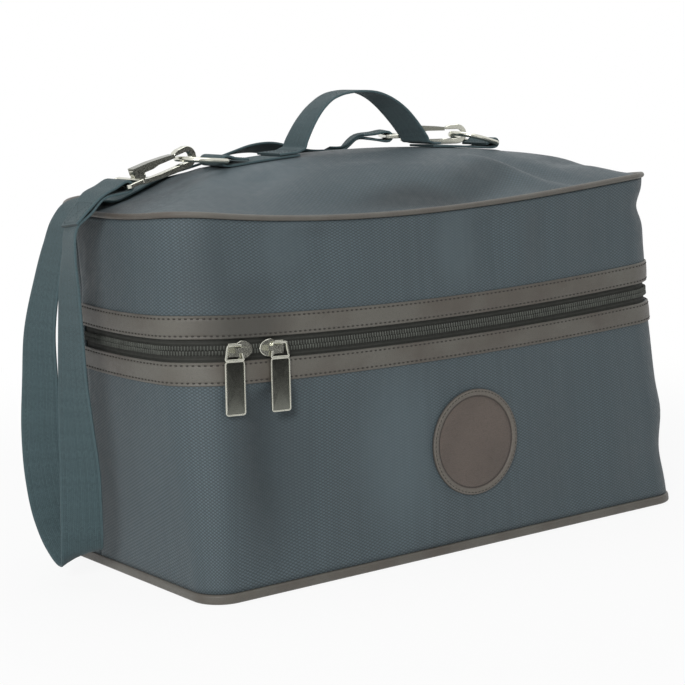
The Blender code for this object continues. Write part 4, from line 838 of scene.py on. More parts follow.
def make_patch_leather(name, base):
    """The patch's leather: browner and plain in the middle, greyer on the raised rim, and with painted shade
    in the groove between them and on its cut edge."""
    hide = Finish(name, base, Sheen_Weight=0.05)
    grain = hide.use("Grain", hide.here, Scale=620.0)
    clouds = hide.use("Clouds", hide.here, Size=0.03)
    wear = hide.use("Wear", hide.here, Size=0.012, Amount=0.35)
    rim = tuple(colours().rim)
    radius = hide.length(hide.uv)
    groove = PATCH_RADIUS - PATCH_BORDER
    hide.between(clouds["Broad"], 0.90, 1.12)
    hide.colour = hide.tint(hide.ramp(radius, groove + 0.0002, groove + 0.0008), hide.colour, rim)
    hide.over(grain["Pores"], 0.35, 0.5)
    rubbed = tuple(part * 1.5 for part in rim)
    hide.colour = hide.tint(hide.times(wear["Mask"], 0.25), hide.colour, rubbed)
    from_groove = hide.maths("ABSOLUTE", hide.maths("SUBTRACT", radius, groove - 0.0003))
    # Painted shade: darker in the groove and on the cut edge, where shade falls
    dark = hide.maths("MAXIMUM", hide.ramp(from_groove, 0.0009, 0.0003),
                      hide.ramp(radius, PATCH_RADIUS - 0.0007, PATCH_RADIUS - 0.0002))
    hide.over(dark, 0.75, 0.28)
    return hide.done(hide.line(clouds["Fine"], 0.12, 0.46), grain["Height"], 0.00020, 0.7)


def make_webbing(name, base):
    """Flat webbing: ribs of coarse thread in chevrons, a bead along each edge and a lighter rubbed face."""
    web = Finish(name, base, Sheen_Weight=0.10, Sheen_Roughness=0.5, Specular_IOR_Level=0.25)
    apart = web.add("SeparateXYZ", {0: web.uv}).outputs
    chevron = web.maths("PINGPONG", web.maths("ADD", apart[1], WEBBING_WIDTH / 2), WEBBING_WIDTH / 10)
    skewed = web.add("CombineXYZ", {0: web.maths("ADD", apart[0], chevron), 1: apart[1], 2: 0.0}).outputs[0]
    weave = web.use("Weave", skewed, Warp_Pitch=look().rib_pitch, Weft_Pitch=look().rib_pitch * 0.85)
    clouds = web.use("Clouds", web.here, Size=0.03)
    threads = web.tint(weave["Thread"], web.shade(0.84), web.shade(1.16))
    web.colour = web.tint(web.ramp(weave["Height"], 0.05, 0.8), web.shade(0.45), threads)
    edge = web.ramp(web.maths("ABSOLUTE", apart[1]), 0.0128, 0.0138)
    web.over(edge, 0.30, 1.5)
    web.over(clouds["Fine"], 0.16, 1.5)
    return web.done(web.line(clouds["Broad"], 0.1, 0.72), web.line(edge, 0.5, weave["Height"]), 0.00022, 0.9)


def make_threaded(name, base, pitch, roughness, relief, rib=None):
    """Plain fine weave, for tape and lining. rib gives the distance between lighter lines along the tape."""
    cloth = Finish(name, base)
    weave = cloth.use("Weave", cloth.uv, Warp_Pitch=pitch, Weft_Pitch=pitch * 1.4)
    clouds = cloth.use("Clouds", cloth.here, Size=0.04)
    cloth.between(cloth.ramp(weave["Height"], 0.0, 0.8), 0.55, 1.15)
    if rib:
        turn = cloth.times(cloth.add("SeparateXYZ", {0: cloth.uv}).outputs[1], 2 * math.pi / rib)
        line = cloth.ramp(cloth.maths("SINE", turn), -0.2, 0.9)
        cloth.colour = cloth.tint(line, cloth.colour, cloth.shade(1.7))
    cloth.over(clouds["Broad"], 0.3, 0.75)
    return cloth.done(cloth.line(clouds["Fine"], 0.1, roughness), weave["Height"], relief, 0.8)


def make_twisted(name, base, roughness):
    """Sewing thread: fine slanting plies and small changes of tone."""
    thread = Finish(name, base)
    clouds = thread.use("Clouds", thread.here, Size=0.004)
    plies = thread.add("TexWave", {"Vector": thread.here, "Scale": 1600.0, "Distortion": 1.5},
                       bands_direction="DIAGONAL").outputs["Fac"]
    thread.between(plies, 0.75, 1.2)
    thread.over(clouds["Broad"], 0.3, 1.5)
    return thread.done(thread.line(clouds["Fine"], 0.1, roughness), plies, 0.00006, 0.7)


def make_moulded(name, base, roughness):
    """Moulded nylon of the zip's teeth."""
    nylon = Finish(name, base)
    clouds = nylon.use("Clouds", nylon.here, Size=0.006)
    nylon.between(clouds["Broad"], 0.8, 1.25)
    return nylon.done(nylon.line(clouds["Fine"], 0.15, roughness), clouds["Fine"], 0.00004, 0.5)


def make_metal(name, base, roughness, tarnish):
    """Plated metal: cloudy polish, hairline scratches and darker tarnish in patches."""
    metal = Finish(name, base, Metallic=1.0)
    clouds = metal.use("Clouds", metal.here, Size=0.012)
    wear = metal.use("Wear", metal.here, Size=0.006, Amount=tarnish)
    drawn = metal.add("Mapping", {"Vector": metal.here, "Scale": (400.0, 60.0, 3000.0)}).outputs[0]
    metal.over(wear["Mask"], 0.5, 0.62)
    metal.over(clouds["Broad"], 0.2, 0.8)
    rough = metal.line(wear["Mask"], 0.15, metal.line(clouds["Fine"], 0.08, roughness))
    return metal.done(rough, metal.noise(drawn, 1.0, 2.0), 0.00003, 0.25)


# Each finish with its maker, its colour and the maker's other settings
RECIPES = {
    # The fabrics' and the leatherette's last settings are their painted light and shade
    "coated_fabric": (make_fabric, "fabric", 1.0, front_painted_ovals(FRONT_PAINTED_LIGHT_AND_SHADE)),
    "top_fabric": (make_fabric, "fabric", 0.45, top_painted_ovals(TOP_PAINTED_LIGHT_AND_SHADE)),
    "leatherette": (make_leather, "leather", 1300.0, 0.00010, 0.35, front_painted_ovals(TRIM_PAINTED_SHADE)),
    "patch_leather": (make_patch_leather, "patch"),
    "webbing": (make_webbing, "webbing"),
    "zip_tape": (make_threaded, "tape", 0.0007, 0.75, 0.0001, 0.0022),
    "zip_coil": (make_moulded, "coil", 0.38),
    "lining": (make_threaded, "lining", 0.0006, 0.7, 0.00008),
    "board": (make_leather, "board", 260.0, 0.00010, 0.2),
    "trim_thread": (make_twisted, "trim_thread", 0.55),
    "web_thread": (make_twisted, "web_thread", 0.6),
    "nickel": (make_metal, "nickel", 0.16, 0.25),
    "dark_nickel": (make_metal, "dark_nickel", 0.24, 0.35),
    "tag_field": (make_metal, "tag_field", 0.12, 0.2),
}
FINISHES = {}


def finish_of(name):
    """The material of that name, made the first time it is asked for."""
    if name not in FINISHES:
        maker, colour, *settings = RECIPES[name]
        FINISHES[name] = maker(name, tuple(getattr(colours(), colour)), *settings)
    return FINISHES[name]


def plate(name, finish):
    """Gives a node that keeps its shape its finish."""
    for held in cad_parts[name].material_slots:
        held.material = finish_of(finish)


def dress(made, body, finish, replaces=()):
    """Gives a piece its material and its body, and hides the nodes it stands for."""
    made.data.materials.clear()
    made.data.materials.append(finish_of(finish))
    if body:
        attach(made, body)
    if replaces:
        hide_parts(*replaces)
    return made


# Sizes and colours that a user may change

def size_property(label, description, default, low=0.0):
    return bpy.props.FloatProperty(name=label, description=description, default=default, min=low, unit="LENGTH")


def plain_property(label, description, default, subtype="NONE", low=0.0, high=1e6):
    return bpy.props.FloatProperty(name=label, description=description, default=default, min=low, max=high,
                                   subtype=subtype)


def colour_property(label, description, red, green, blue):
    return bpy.props.FloatVectorProperty(name=label, description=description, subtype="COLOR", size=3, min=0.0,
                                         max=1.0, default=tone(red, green, blue))


class BagLook(bpy.types.PropertyGroup):
    """Sizes of the cloth, stitches and teeth."""
    weave_pitch: size_property("Weave pitch", "Width of one float of the fabric's weave", 0.00205, 0.0002)
    weave_rise: size_property("Weave rise", "Height of one float of the fabric's weave", 0.00118, 0.0002)
    weave_contrast: plain_property("Weave contrast", "Difference between warp and weft", 0.34, "FACTOR", 0.0, 1.0)
    rib_pitch: size_property("Rib pitch", "Width of one rib of the webbing", 0.0015, 0.0004)
    dent_depth: size_property("Wall waves", "Depth of the soft waves in the walls", 0.0011)
    crown_dent: size_property("Top waves", "Depth of the soft waves in the top panel", 0.0016)
    tooth_pitch: size_property("Tooth pitch", "From one tooth of the zip to the next", 0.0023, 0.0008)
    stitch_pitch: size_property("Stitch pitch", "From one stitch to the next", 0.0041, 0.002)
    stitch_length: size_property("Stitch length", "Length of the thread that shows", 0.0021, 0.001)
    stitch_inset: size_property("Stitch inset", "From the trim's edge to its stitches", 0.0022, 0.001)


class BagColours(bpy.types.PropertyGroup):
    """Colours of the finishes."""
    fabric: colour_property("Fabric", "Coated fabric of the walls and top", 79, 91, 96)
    leather: colour_property("Leatherette", "Trims, pipings and base", 99, 97, 90)
    patch: colour_property("Patch", "Round patch on the front", 92, 82, 75)
    webbing: colour_property("Webbing", "Handle, ring tabs and strap", 68, 86, 90)
    rim: colour_property("Patch rim", "Raised rim of the round patch", 106, 101, 93)
    tape: colour_property("Zip tape", "Tape beside the teeth", 42, 43, 39)
    coil: colour_property("Zip teeth", "Teeth of the zip", 74, 77, 71)
    lining: colour_property("Lining", "Inside of the bag", 74, 78, 80)
    board: colour_property("Board", "Stiffener of the base", 96, 92, 84)
    trim_thread: colour_property("Trim thread", "Stitches on the leatherette", 42, 38, 34)
    web_thread: colour_property("Webbing thread", "Stitches on the webbing", 52, 66, 70)
    nickel: colour_property("Nickel", "Rings, hooks and sliders", 206, 206, 194)
    dark_nickel: colour_property("Dark nickel", "Gates and pins", 142, 143, 133)
    tag_field: colour_property("Tag field", "Dark panel of the pull tags", 124, 126, 118)


class BagStudio(bpy.types.PropertyGroup):
    """Camera and lights."""
    lens: plain_property("Lens", "Focal length in millimetres", 98.8, low=10.0)
    key: plain_property("Key lamp", "Power of the lamp in front", 38.0, "POWER")
    top: plain_property("Top lamp", "Power of the lamp above", 17.0, "POWER")
    sky: plain_property("Sky", "Strength of the light from all round", 0.30, "FACTOR")


def look():
    return bpy.context.scene.bag_look


def colours():
    return bpy.context.scene.bag_colours


# Pieces of cloth

class BAG_OT_walls(bpy.types.Operator):
    """Walls of coated fabric, with the soft waves and hollows of a bag that has been used"""
    bl_idname = "bag.walls"
    bl_label = "Walls"

    def execute(self, context):
        """Each panel runs between two heights: the outline at each height, pushed out by the slump."""
        for name, span, low, high, fade, body in (
                ("lower_wall", FRONT_SPAN, WALL_START, LOWER_TRIM_TOP - TRIM_TUCK, TUB_FADE, "tub"),
                ("upper_wall", FRONT_SPAN, UPPER_TRIM_BOTTOM + TRIM_TUCK, LID_WALL_TOP, LID_FADE, "lid"),
                ("rear_wall_lower", BACK_SPAN, WALL_START, ZIP_HEIGHT - GAP / 2, None, "tub"),
                ("rear_wall_upper", BACK_SPAN, ZIP_HEIGHT + GAP / 2, LID_WALL_TOP, None, "lid")):
            t = spaced(span, (low + high) / 2, CLOTH_STEP)
            heights = np.linspace(low, high, 34)
            points = outline(t[:, None], heights[None], slump(t[:, None], heights[None], *(fade or (low, high))))
            cloth = thick(grid(name + "_cloth", points, running(t), heights, closed=False), FABRIC)
            dress(cloth, body, "coated_fabric", replaces=(name,))
        reach = mix(LENGTH_BOTTOM, LENGTH_TOP, ZIP_HEIGHT / EDGE_HEIGHT) / 2 - CORNER_ZIP
        x = np.linspace(-reach, reach, 60)
        line = outline(7.5, ZIP_HEIGHT, GAP)
        cord = sweep("rear_seam_cord", np.column_stack([x + line[0], 0 * x + line[1], 0 * x + line[2]]),
                     np.tile(Z_AXIS, (len(x), 1)), round_section(SEAM_CORD, 8))
        dress(cord, "tub", "web_thread")
        return {"FINISHED"}


def roll(name, t, heights, outs, around):
    """A closed section carried right round the outline. around is the cloth's measure about it."""
    points = outline(t[:, None], heights[None], outs[None])
    return grid(name, points, np.append(running(t), running(SIDES)), np.linspace(0, around, len(heights) + 1),
                round_i=True, round_j=True)


class BAG_OT_base(bpy.types.Operator):
    """Leatherette base panel with its piping; the stiffening board keeps its own shape"""
    bl_idname = "bag.base"
    bl_label = "Base"

    def execute(self, context):
        inside = BASE_PIPING_PROUD - BASE_PIPING_DEPTH - GAP
        rows = crown_grid(inside, BOARD, np.linspace(0, 1, 12), flat=0.0)
        panel = grid("base_panel_skin", rows, uv=rows[..., :2], round_j=True, closed=False)
        panel = thick(merged(panel), BOARD, 1.0)
        flip_towards(panel, -1)
        panel.modifiers["thickness"].offset = -1.0
        dress(panel, "tub", "leatherette", replaces=("base_panel",))
        t = spaced((0, SIDES), 0.0, CLOTH_STEP)[:-1]
        section = rounded_box(BASE_PIPING_HEIGHT / 2, BASE_PIPING_DEPTH / 2, BASE_PIPING_ROUND, 5, 2)
        heights = section[:, 0] + BASE_PIPING_HEIGHT / 2
        outs = section[:, 1] + BASE_PIPING_PROUD - BASE_PIPING_DEPTH / 2
        piping = roll("base_piping_roll", t, heights, outs, BASE_PIPING_AROUND)
        dress(piping, "tub", "leatherette", replaces=("base_piping",))
        plate("base_board", "board")
        return {"FINISHED"}


class BAG_OT_top(bpy.types.Operator):
    """Crowned top panel and the piping round its edge"""
    bl_idname = "bag.top"
    bl_label = "Top panel"

    def execute(self, context):
        shares = 1 - np.linspace(0, 1, 30) ** TOP_CROWDING
        rows = crown_grid(CROWN_OUT, EDGE_HEIGHT, shares, per_side=20)
        top = grid("top_panel_cloth", rows, uv=rows[..., :2], round_j=True, closed=False)
        top = thick(flip_towards(merged(top), 1), FABRIC)
        dress(top, "lid", "top_fabric", replaces=("top_panel",))
        t = spaced((0, SIDES), EDGE_HEIGHT, CLOTH_STEP)[:-1]
        outs, rises = round_section(TOP_PIPING_RADIUS).T
        piping = roll("top_piping_roll", t, EDGE_HEIGHT + rises, outs, 2 * np.pi * TOP_PIPING_RADIUS)
        dress(piping, "lid", "leatherette", replaces=("top_piping",))
        return {"FINISHED"}


class BAG_OT_linings(bpy.types.Operator):
    """Linings of the tub and of the lid"""
    bl_idname = "bag.linings"
    bl_label = "Linings"

    def execute(self, context):
        low, high = 2 * BOARD + 3 * GAP + LINING, ZIP_HEIGHT - COIL_HEIGHT - LINING_MARGIN
        floor = crown_grid(LINING_OUT, low, np.linspace(0, FLOOR_REACH, 8), flat=low)
        self.shell("tub", floor, np.linspace(low, high, 16), TUB_FADE, -1)
        low, high = ZIP_HEIGHT + COIL_HEIGHT + LINING_MARGIN, EDGE_HEIGHT - LID_LINING_FALL
        vault = crown_grid(LINING_OUT, high, np.linspace(0, VAULT_REACH, 12), drop=FABRIC + CROWN_LINING_DROP)
        self.shell("lid", vault, np.linspace(high, low, 12), LID_FADE, 1)
        return {"FINISHED"}

    def shell(self, body, middle, heights, fade, facing):
        """A lining from the rows of its middle on to the wall, down or up it."""
        t = stations()
        moved = slump(t[None], heights[:, None], *fade)
        walls = outline(t[None], heights[:, None], LINING_OUT + moved)
        rows = np.concatenate([middle, walls[:1], walls])
        along_wall = np.stack(np.broadcast_arrays(running(t)[None], heights[:, None]), -1)
        measure = np.concatenate([middle[..., :2], walls[:1, :, :2], along_wall])
        made = grid(body + "_lining_cloth", rows, uv=measure, round_j=True, closed=False)
        dress(thick(flip_towards(merged(made), facing), LINING), body, "lining", replaces=(body + "_lining",))


# Trims, stitches and zip

CORE_INSIDE, CORE_ROUND, CORE_AROUND = 0.0003, 0.0005, 0.008
TOOTH_OVER, TOOTH_SUNK, TOOTH_THICKNESS, TOOTH_SHARE = 0.0003, 0.00055, 0.0013, 0.46
TEETH_SPAN, STITCH_SPAN = (0.01, 4.99), (0.03, 4.97)
TOOTH_RINGS = ((-1, 0.7), (-0.75, 1), (0.75, 1), (1, 0.7))
TRIM_EDGE, TRIM_FULL, TRIM_GROOVE, TRIM_STEP = 0.0007, 0.00035, 0.00045, 0.0025
STITCH_RINGS = ((-1.0, 0.45), (-0.7, 0.95), (0.0, 1.0), (0.7, 0.95), (1.0, 0.45))


def stitches(name, origins, along, side, outward, thread=0.0010, length=None):
    """A row of stitches: short rounded threads whose ends dive into the cloth."""
    length = length or look().stitch_length
    shape, faces = spindle(length, thread, thread * 0.8, STITCH_RINGS, 6, thread * 0.35)
    return scatter(name, shape, faces, origins, np.stack([along, side, outward], 1))


def strip_of(name, t, heights, outs, around):
    """A closed section carried along the front from seam to seam, with its ends capped."""
    return grid(name, outline(t[:, None], heights[None], outs[None]), running(t), around, round_j=True, caps=True)


def trim_section():
    """Profile of a leatherette strip: flat back, rounded edges, a groove under each row of stitches and a
    slight fullness between them. Returns heights from its lower edge and outs from its back."""
    up = np.linspace(0, TRIM_HEIGHT, 41)
    edge = np.minimum(up, TRIM_HEIGHT - up)
    rounded = np.sqrt(np.clip(1 - (1 - edge / TRIM_EDGE) ** 2, 0, 1)) * (edge < TRIM_EDGE) + (edge >= TRIM_EDGE)
    full = TRIM_FULL * np.sin(np.pi * up / TRIM_HEIGHT) ** 0.8
    groove = TRIM_GROOVE * np.exp(-((edge - look().stitch_inset) / 0.0008) ** 2)
    back = np.linspace(TRIM_HEIGHT, 0, 4)
    return np.concatenate([up, back]), np.concatenate([TRIM * (0.45 + 0.55 * rounded) + full - groove, 0 * back])


class BAG_OT_trims(bpy.types.Operator):
    """Leatherette strips above and below the zip, each with two rows of stitches"""
    bl_idname = "bag.trims"
    bl_label = "Trims"

    def execute(self, context):
        heights, outs = trim_section()
        for name, bottom, body in (("lower_trim", LOWER_TRIM_BOTTOM, "tub"),
                                   ("upper_trim", UPPER_TRIM_BOTTOM, "lid")):
            t = spaced(FRONT_SPAN, bottom, TRIM_STEP)
            strip = strip_of(name + "_strip", t, bottom + heights, GAP + outs, np.append(heights, heights[0]))
            dress(strip, body, "leatherette", replaces=(name,))
            rows = []
            for height in (bottom + look().stitch_inset, bottom + TRIM_HEIGHT - look().stitch_inset):
                at = spaced(STITCH_SPAN, height, look().stitch_pitch)
                rows.append(wall_axes(at, height, GAP + TRIM + 0.00005))
            dress(stitches(name + "_stitches", *join_rows(rows)), body, "trim_thread")
        return {"FINISHED"}


class BAG_OT_zip(bpy.types.Operator):
    """Zip tapes and the two rows of teeth, each row a half pitch from the other"""
    bl_idname = "bag.zip"
    bl_label = "Zip"

    def execute(self, context):
        pitch, t = look().tooth_pitch, spaced(FRONT_SPAN, ZIP_HEIGHT, TRIM_STEP)
        core = rounded_box(COIL_HEIGHT / 2, COIL_DEPTH / 2 - CORE_INSIDE, CORE_ROUND, 3, 2)
        outs = COIL_PROUD - COIL_DEPTH / 2 - CORE_INSIDE + core[:, 1]
        tooth = COIL_HEIGHT + TOOTH_OVER
        shape, faces = spindle(tooth, pitch * TOOTH_SHARE, TOOTH_THICKNESS, TOOTH_RINGS, 8)
        for name, sign, far, body in (("lower_zip", -1, LOWER_TRIM_BOTTOM + TAPE_MARGIN, "tub"),
                                      ("upper_zip", 1, UPPER_TRIM_TOP - TAPE_MARGIN, "lid")):
            line = ZIP_HEIGHT + sign * GAP / 2
            heights = np.linspace(line, far, 10)
            tape = grid(name + "_tape_weave", outline(t[:, None], heights[None], TAPE_OUT), running(t), heights,
                        closed=False, turn=sign < 0)
            dress(thick(tape, TAPE), body, "zip_tape", replaces=(name + "_tape",))
            strip = strip_of(name + "_core", t, line + sign * COIL_HEIGHT / 2 + core[:, 0], outs,
                             np.linspace(0, CORE_AROUND, len(core) + 1))
            dress(strip, body, "zip_tape")
            at = spaced(TEETH_SPAN, ZIP_HEIGHT, pitch, COIL_PROUD, pitch / 2 if sign > 0 else 0.0)
            origins, along, up, outward = wall_axes(at, line + sign * tooth / 2, COIL_PROUD - TOOTH_SUNK)
            teeth = scatter(name + "_teeth", shape, faces, origins, np.stack([up, along, -outward], 1))
            dress(teeth, body, "zip_coil", replaces=(name + "_coil",))
        return {"FINISHED"}


class BAG_OT_patch(bpy.types.Operator):
    """Round leather patch that follows the wall: bare grained middle, sewn groove and raised rim"""
    bl_idname = "bag.patch"
    bl_label = "Round patch"

    def execute(self, context):
        inner, rim = PATCH_RADIUS - PATCH_BORDER, PATCH_THICKNESS + PATCH_BORDER_RISE
        profile = [(r, PATCH_THICKNESS) for r in (0.0, *np.linspace(0.002, inner - 0.0016, 18))]
        for start, level, steps in ((inner, PATCH_THICKNESS, PATCH_GROOVE), (inner, rim, PATCH_RIM),
                                    (PATCH_RADIUS, rim, PATCH_EDGE), (PATCH_RADIUS, 0.0, PATCH_BACK)):
            profile += [(start + r, level + lift) for r, lift in steps]
        radius, lift = np.array(profile + [(PATCH_RADIUS * 0.6, 0.0), (0.0, 0.0)]).T
        flat = radius[None, :, None] * round_section(1, 144)[:, None]
        points = self.laid(flat[..., 0], flat[..., 1], lift[None])
        patch = merged(grid("round_patch_leather", points, uv=flat, round_i=True))
        dress(patch, "tub", "patch_leather", replaces=("round_patch",))
        row = inner + PATCH_ROW
        count = round(2 * np.pi * row / PATCH_STITCH)
        at = np.arange(count) * 2 * np.pi / count
        origins = self.on_ring(row, at, rim + 0.0002)
        ahead = unit(self.on_ring(row, at + NEARBY, rim + 0.0002) - origins)
        outward = unit(self.on_ring(row, at, rim + NEARBY) - origins)
        made = stitches("round_patch_stitches", origins, ahead, np.cross(outward, ahead), outward, *PATCH_THREAD)
        dress(made, "tub", "trim_thread")
        return {"FINISHED"}

    def on_ring(self, radius, turn, lift):
        return self.laid(radius * np.cos(turn), radius * np.sin(turn), lift)

    def laid(self, x, z, lift):
        """A place on the patch: on the wall, and then square out of it."""
        x, z, lift = np.broadcast_arrays(x, z, lift)
        height = PATCH_Z + z
        t = front_station(PATCH_X + x, height)
        here, _, _, outward = wall_axes(t, height, 2 * GAP)
        return here + outward * lift[..., None]


# Webbing

def ring_bar(x):
    """The ring's bar lies in the fold of its tab."""
    return crest_point(x, 0.0, FIRST_LAYER)[0] + np.array([0, 0, FOLD_RADIUS + RING_LIFT])


def ring_frame(bar_x, tilt):
    angle = math.radians(tilt)
    return ring_bar(bar_x), np.array([-math.cos(angle), 0.0, math.sin(angle)])


def fold(centre, start, turn, radius, first, second, steps=8):
    """Points round a bar, from directions first and second square to it."""
    angles = np.radians(start + turn * np.arange(steps + 1) / steps)
    return [centre + first * radius * math.cos(a) + second * radius * math.sin(a) for a in angles]


def tab_path(bar_x, inward, tail_length):
    bar = ring_bar(bar_x)
    reach = abs((HANDLE_LEFT if inward > 0 else HANDLE_RIGHT) - bar_x) - TAB_HIDDEN
    flat = [crest_point(bar_x + inward * reach * k / 5, 0.0, FIRST_LAYER)[0] for k in range(5, 0, -1)]
    turn = fold(bar, 270, -180 * inward, FOLD_RADIUS, X_AXIS, Z_AXIS)
    tail = [crest_point(bar_x + inward * tail_length * 0.55, 0.0, SECOND_LAYER + TAB_MIDDLE_LIFT)[0],
            crest_point(bar_x + inward * tail_length, 0.0, SECOND_LAYER + TAB_END_LIFT)[0]]
    return flat + turn + tail


def handle_path():
    """Feet on the tabs, and an arch between the legs. The arch's places run as the sine of an even turn,
    and its height falls from the middle as the place to a power, with a power of its own for each side."""
    left, right = (crest_point(x, 0.0, SECOND_LAYER)[0] for x in (HANDLE_LEFT, HANDLE_RIGHT))
    left_foot = [crest_point(HANDLE_LEFT - back, 0.0, SECOND_LAYER)[0]
                 for back in (HANDLE_FOOT_LEFT, HANDLE_FOOT_LEFT / 2, HANDLE_HEEL)]
    right_foot = [crest_point(HANDLE_RIGHT + ahead, 0.0, SECOND_LAYER)[0]
                  for ahead in (HANDLE_HEEL, HANDLE_FOOT_RIGHT * 0.7, HANDLE_FOOT_RIGHT)]
    place = np.sin(np.pi * (np.arange(1, ARCH_STEPS) / ARCH_STEPS - 0.5))
    rise = HANDLE_RISE * (1 - np.abs(place) ** np.where(place < 0, HANDLE_FULL_LEFT, HANDLE_FULL_RIGHT))
    arch = mix(left, right, ((place + 1) / 2)[:, None]) + rise[:, None] * Z_AXIS
    turns = np.interp(place, *np.array(HANDLE_TURNS).T)
    points = left_foot + [left + [-HANDLE_BEND, 0, HANDLE_BEND], *arch, right + [HANDLE_BEND, 0, HANDLE_BEND]]
    across = np.tile(ACROSS, (len(points) + len(right_foot), 1))
    across[len(left_foot) + 1:len(points) - 1, 0] = turns
    return points + right_foot, across


def sewn_box(laid, start, end):
    """A sewn box with its two diagonals on a ribbon's upper face."""
    low, high = -SEWN_BOX_HALF, SEWN_BOX_HALF
    corners = ((start, low), (end, low), (end, high), (start, high), (start, low), (end, high))
    lines = [*zip(corners[:5], corners[1:5]), (corners[0], corners[5]), (corners[3], corners[1])]
    return sewn_lines(laid, lines, (start + end) / 2)


def sewn_lines(laid, lines, looked_at):
    """Origins and directions of stitches along straight lines drawn on the face of a ribbon that looks up
    at one place along it. The lines' ends are (along, across) pairs."""
    out = laid[2][np.argmin(np.abs(laid[3] - looked_at))]
    lift = (1.0 if out[2] > 0 else -1.0) * (WEBBING / 2 + SEWN_LIFT)
    found = []
    for first, second in lines:
        first, second = np.array(first), np.array(second)
        count = max(1, round(np.linalg.norm(second - first) / SEWN_PITCH))
        share = ((np.arange(count) + 0.5) / count)[:, None]
        spots = mix(first, second, share)
        origin, ahead, side, out = on_ribbon(laid, spots[:, 0], spots[:, 1], lift)
        turn = (second - first) / np.linalg.norm(second - first)
        along = unit(ahead * turn[0] + side * turn[1])
        face = out * np.sign(lift)
        found.append((origin, along, np.cross(face, along), face))
    return join_rows(found)


def sewn(name, rows):
    """The stitches of those rows, as a piece of the lid."""
    dress(stitches(name + "_stitches", *join_rows(rows), *SEWN_THREAD), "lid", "web_thread")


class BAG_OT_handle(bpy.types.Operator):
    """Carry handle and the two ring tabs of webbing, with their sewn boxes"""
    bl_idname = "bag.handle"
    bl_label = "Handle and ring tabs"

    def execute(self, context):
        for side, bar_x, inward, tail in (("left", RING_LEFT, 1, TAB_TAIL_LEFT),
                                          ("right", RING_RIGHT, -1, TAB_TAIL_RIGHT)):
            name = f"ring_tab_{side}"
            path = tab_path(bar_x, inward, tail)
            tab, laid = ribbon(name + "_web", path, np.tile(ACROSS, (len(path), 1)), TAB_STEP)
            dress(tab, "lid", "webbing", replaces=(name,))
            run = laid[3][-1]
            ends = [run - SEWN_THREAD[1] - SEWN_PITCH * k for k in range(2)]
            lines = [((end, -TAB_SEWN_HALF), (end, TAB_SEWN_HALF)) for end in ends]
            sewn(name, [sewn_lines(laid, lines, run - tail * 0.3)])
        handle, laid = ribbon("carry_handle_web", *handle_path(), HANDLE_STEP)
        dress(handle, "lid", "webbing", replaces=("carry_handle",))
        run = laid[3][-1]
        sewn("carry_handle", [sewn_box(laid, SEWN_START, HANDLE_FOOT_LEFT - LEFT_UNSEWN),
                              sewn_box(laid, run - HANDLE_FOOT_RIGHT + RIGHT_UNSEWN, run - SEWN_START)])
        return {"FINISHED"}


def hook_axes(side):
    """Where a hook's ring wire lies, and the hook's directions along it, across it and up."""
    if side == "left":
        bar, away = ring_frame(RING_LEFT, RING_TILT_LEFT)
        contact = bar + away * RING_DEPTH
        tilt = math.radians(HOOK_TILT_LEFT)
        u = np.array([math.cos(tilt), 0.0, math.sin(tilt)])
    else:
        bar, away = ring_frame(RING_RIGHT, RING_TILT_RIGHT)
        half = RING_INSIDE / 2 + RING_WIRE
        reach = RING_DEPTH - half + math.sqrt(half ** 2 - HOOK_SHIFT_RIGHT ** 2)
        contact = bar + away * reach + np.array([0, HOOK_SHIFT_RIGHT, HOOK_SEAT_RIGHT])
        yaw = math.radians(HOOK_YAW_RIGHT)
        u = np.array([math.cos(yaw), -math.sin(yaw), 0.0])
    v = unit(np.cross(Z_AXIS, u))
    return contact, u, v, np.cross(u, v)


def eye_fold(side, first):
    """Path round the eye's bar with its two sewn layers, from the upper layer if first is 1."""
    origin, u, v, w = hook_axes(side)
    bar = origin + u * (NECK_BACK - EYE_NECK - EYE_DEPTH + EYE_BAR / 2)
    turns = np.radians(first * np.linspace(105, -105, 9))
    places = [(-FOLD_FAR, first * LAYER), (-FOLD_NEAR, first * (LAYER + FOLD_OPEN))]
    places += [(EYE_FOLD * math.cos(a), EYE_FOLD * math.sin(a)) for a in turns]
    places += [(-FOLD_NEAR, -first * (LAYER + FOLD_OPEN)), (-FOLD_FAR, -first * LAYER)]
    return bar, -v, [(bar + u * along + w * up, -v) for along, up in places]


def strap_path():
    """From the sewn tail at the left hook, round its eye, down and up the hanging loop, and over the top
    to the right hook's eye."""
    left_bar, _, left_fold = eye_fold("left", 1)
    _, right_across, right_fold = eye_fold("right", -1)
    end, over_seam, under_seam, far = ((left_bar + step, across) for *step, across in STRAP_TAIL)
    path = [end, over_seam, *left_fold, under_seam, far]
    path += [((LEFT_EDGE + x, y, share * EDGE_HEIGHT), across) for x, y, share, *across in STRAP_LOOP]
    path += [crest_point(mix(STRAP_START, STRAP_BEND, k / 6), STRAP_Y, FIRST_LAYER + GAP + arch)
             for k, arch in enumerate(STRAP_ARCH[:7])]
    turns = [mix(ACROSS, right_across, k / len(STRAP_TURN))[:2] for k in range(len(STRAP_TURN))]
    bend = list(zip(STRAP_TURN, turns))
    path += [crest_point(RING_RIGHT + x, y, STRAP_LIFT + arch, turn)
             for ((x, y), turn), arch in zip(bend, STRAP_ARCH[7:])] + right_fold
    path += [crest_point(RING_RIGHT + x, y, STRAP_LIFT + 2 * LAYER, turn) for (x, y), turn in reversed(bend[-2:])]
    return [np.array(p, float) for p, _ in path], [np.array(a, float) for _, a in path]


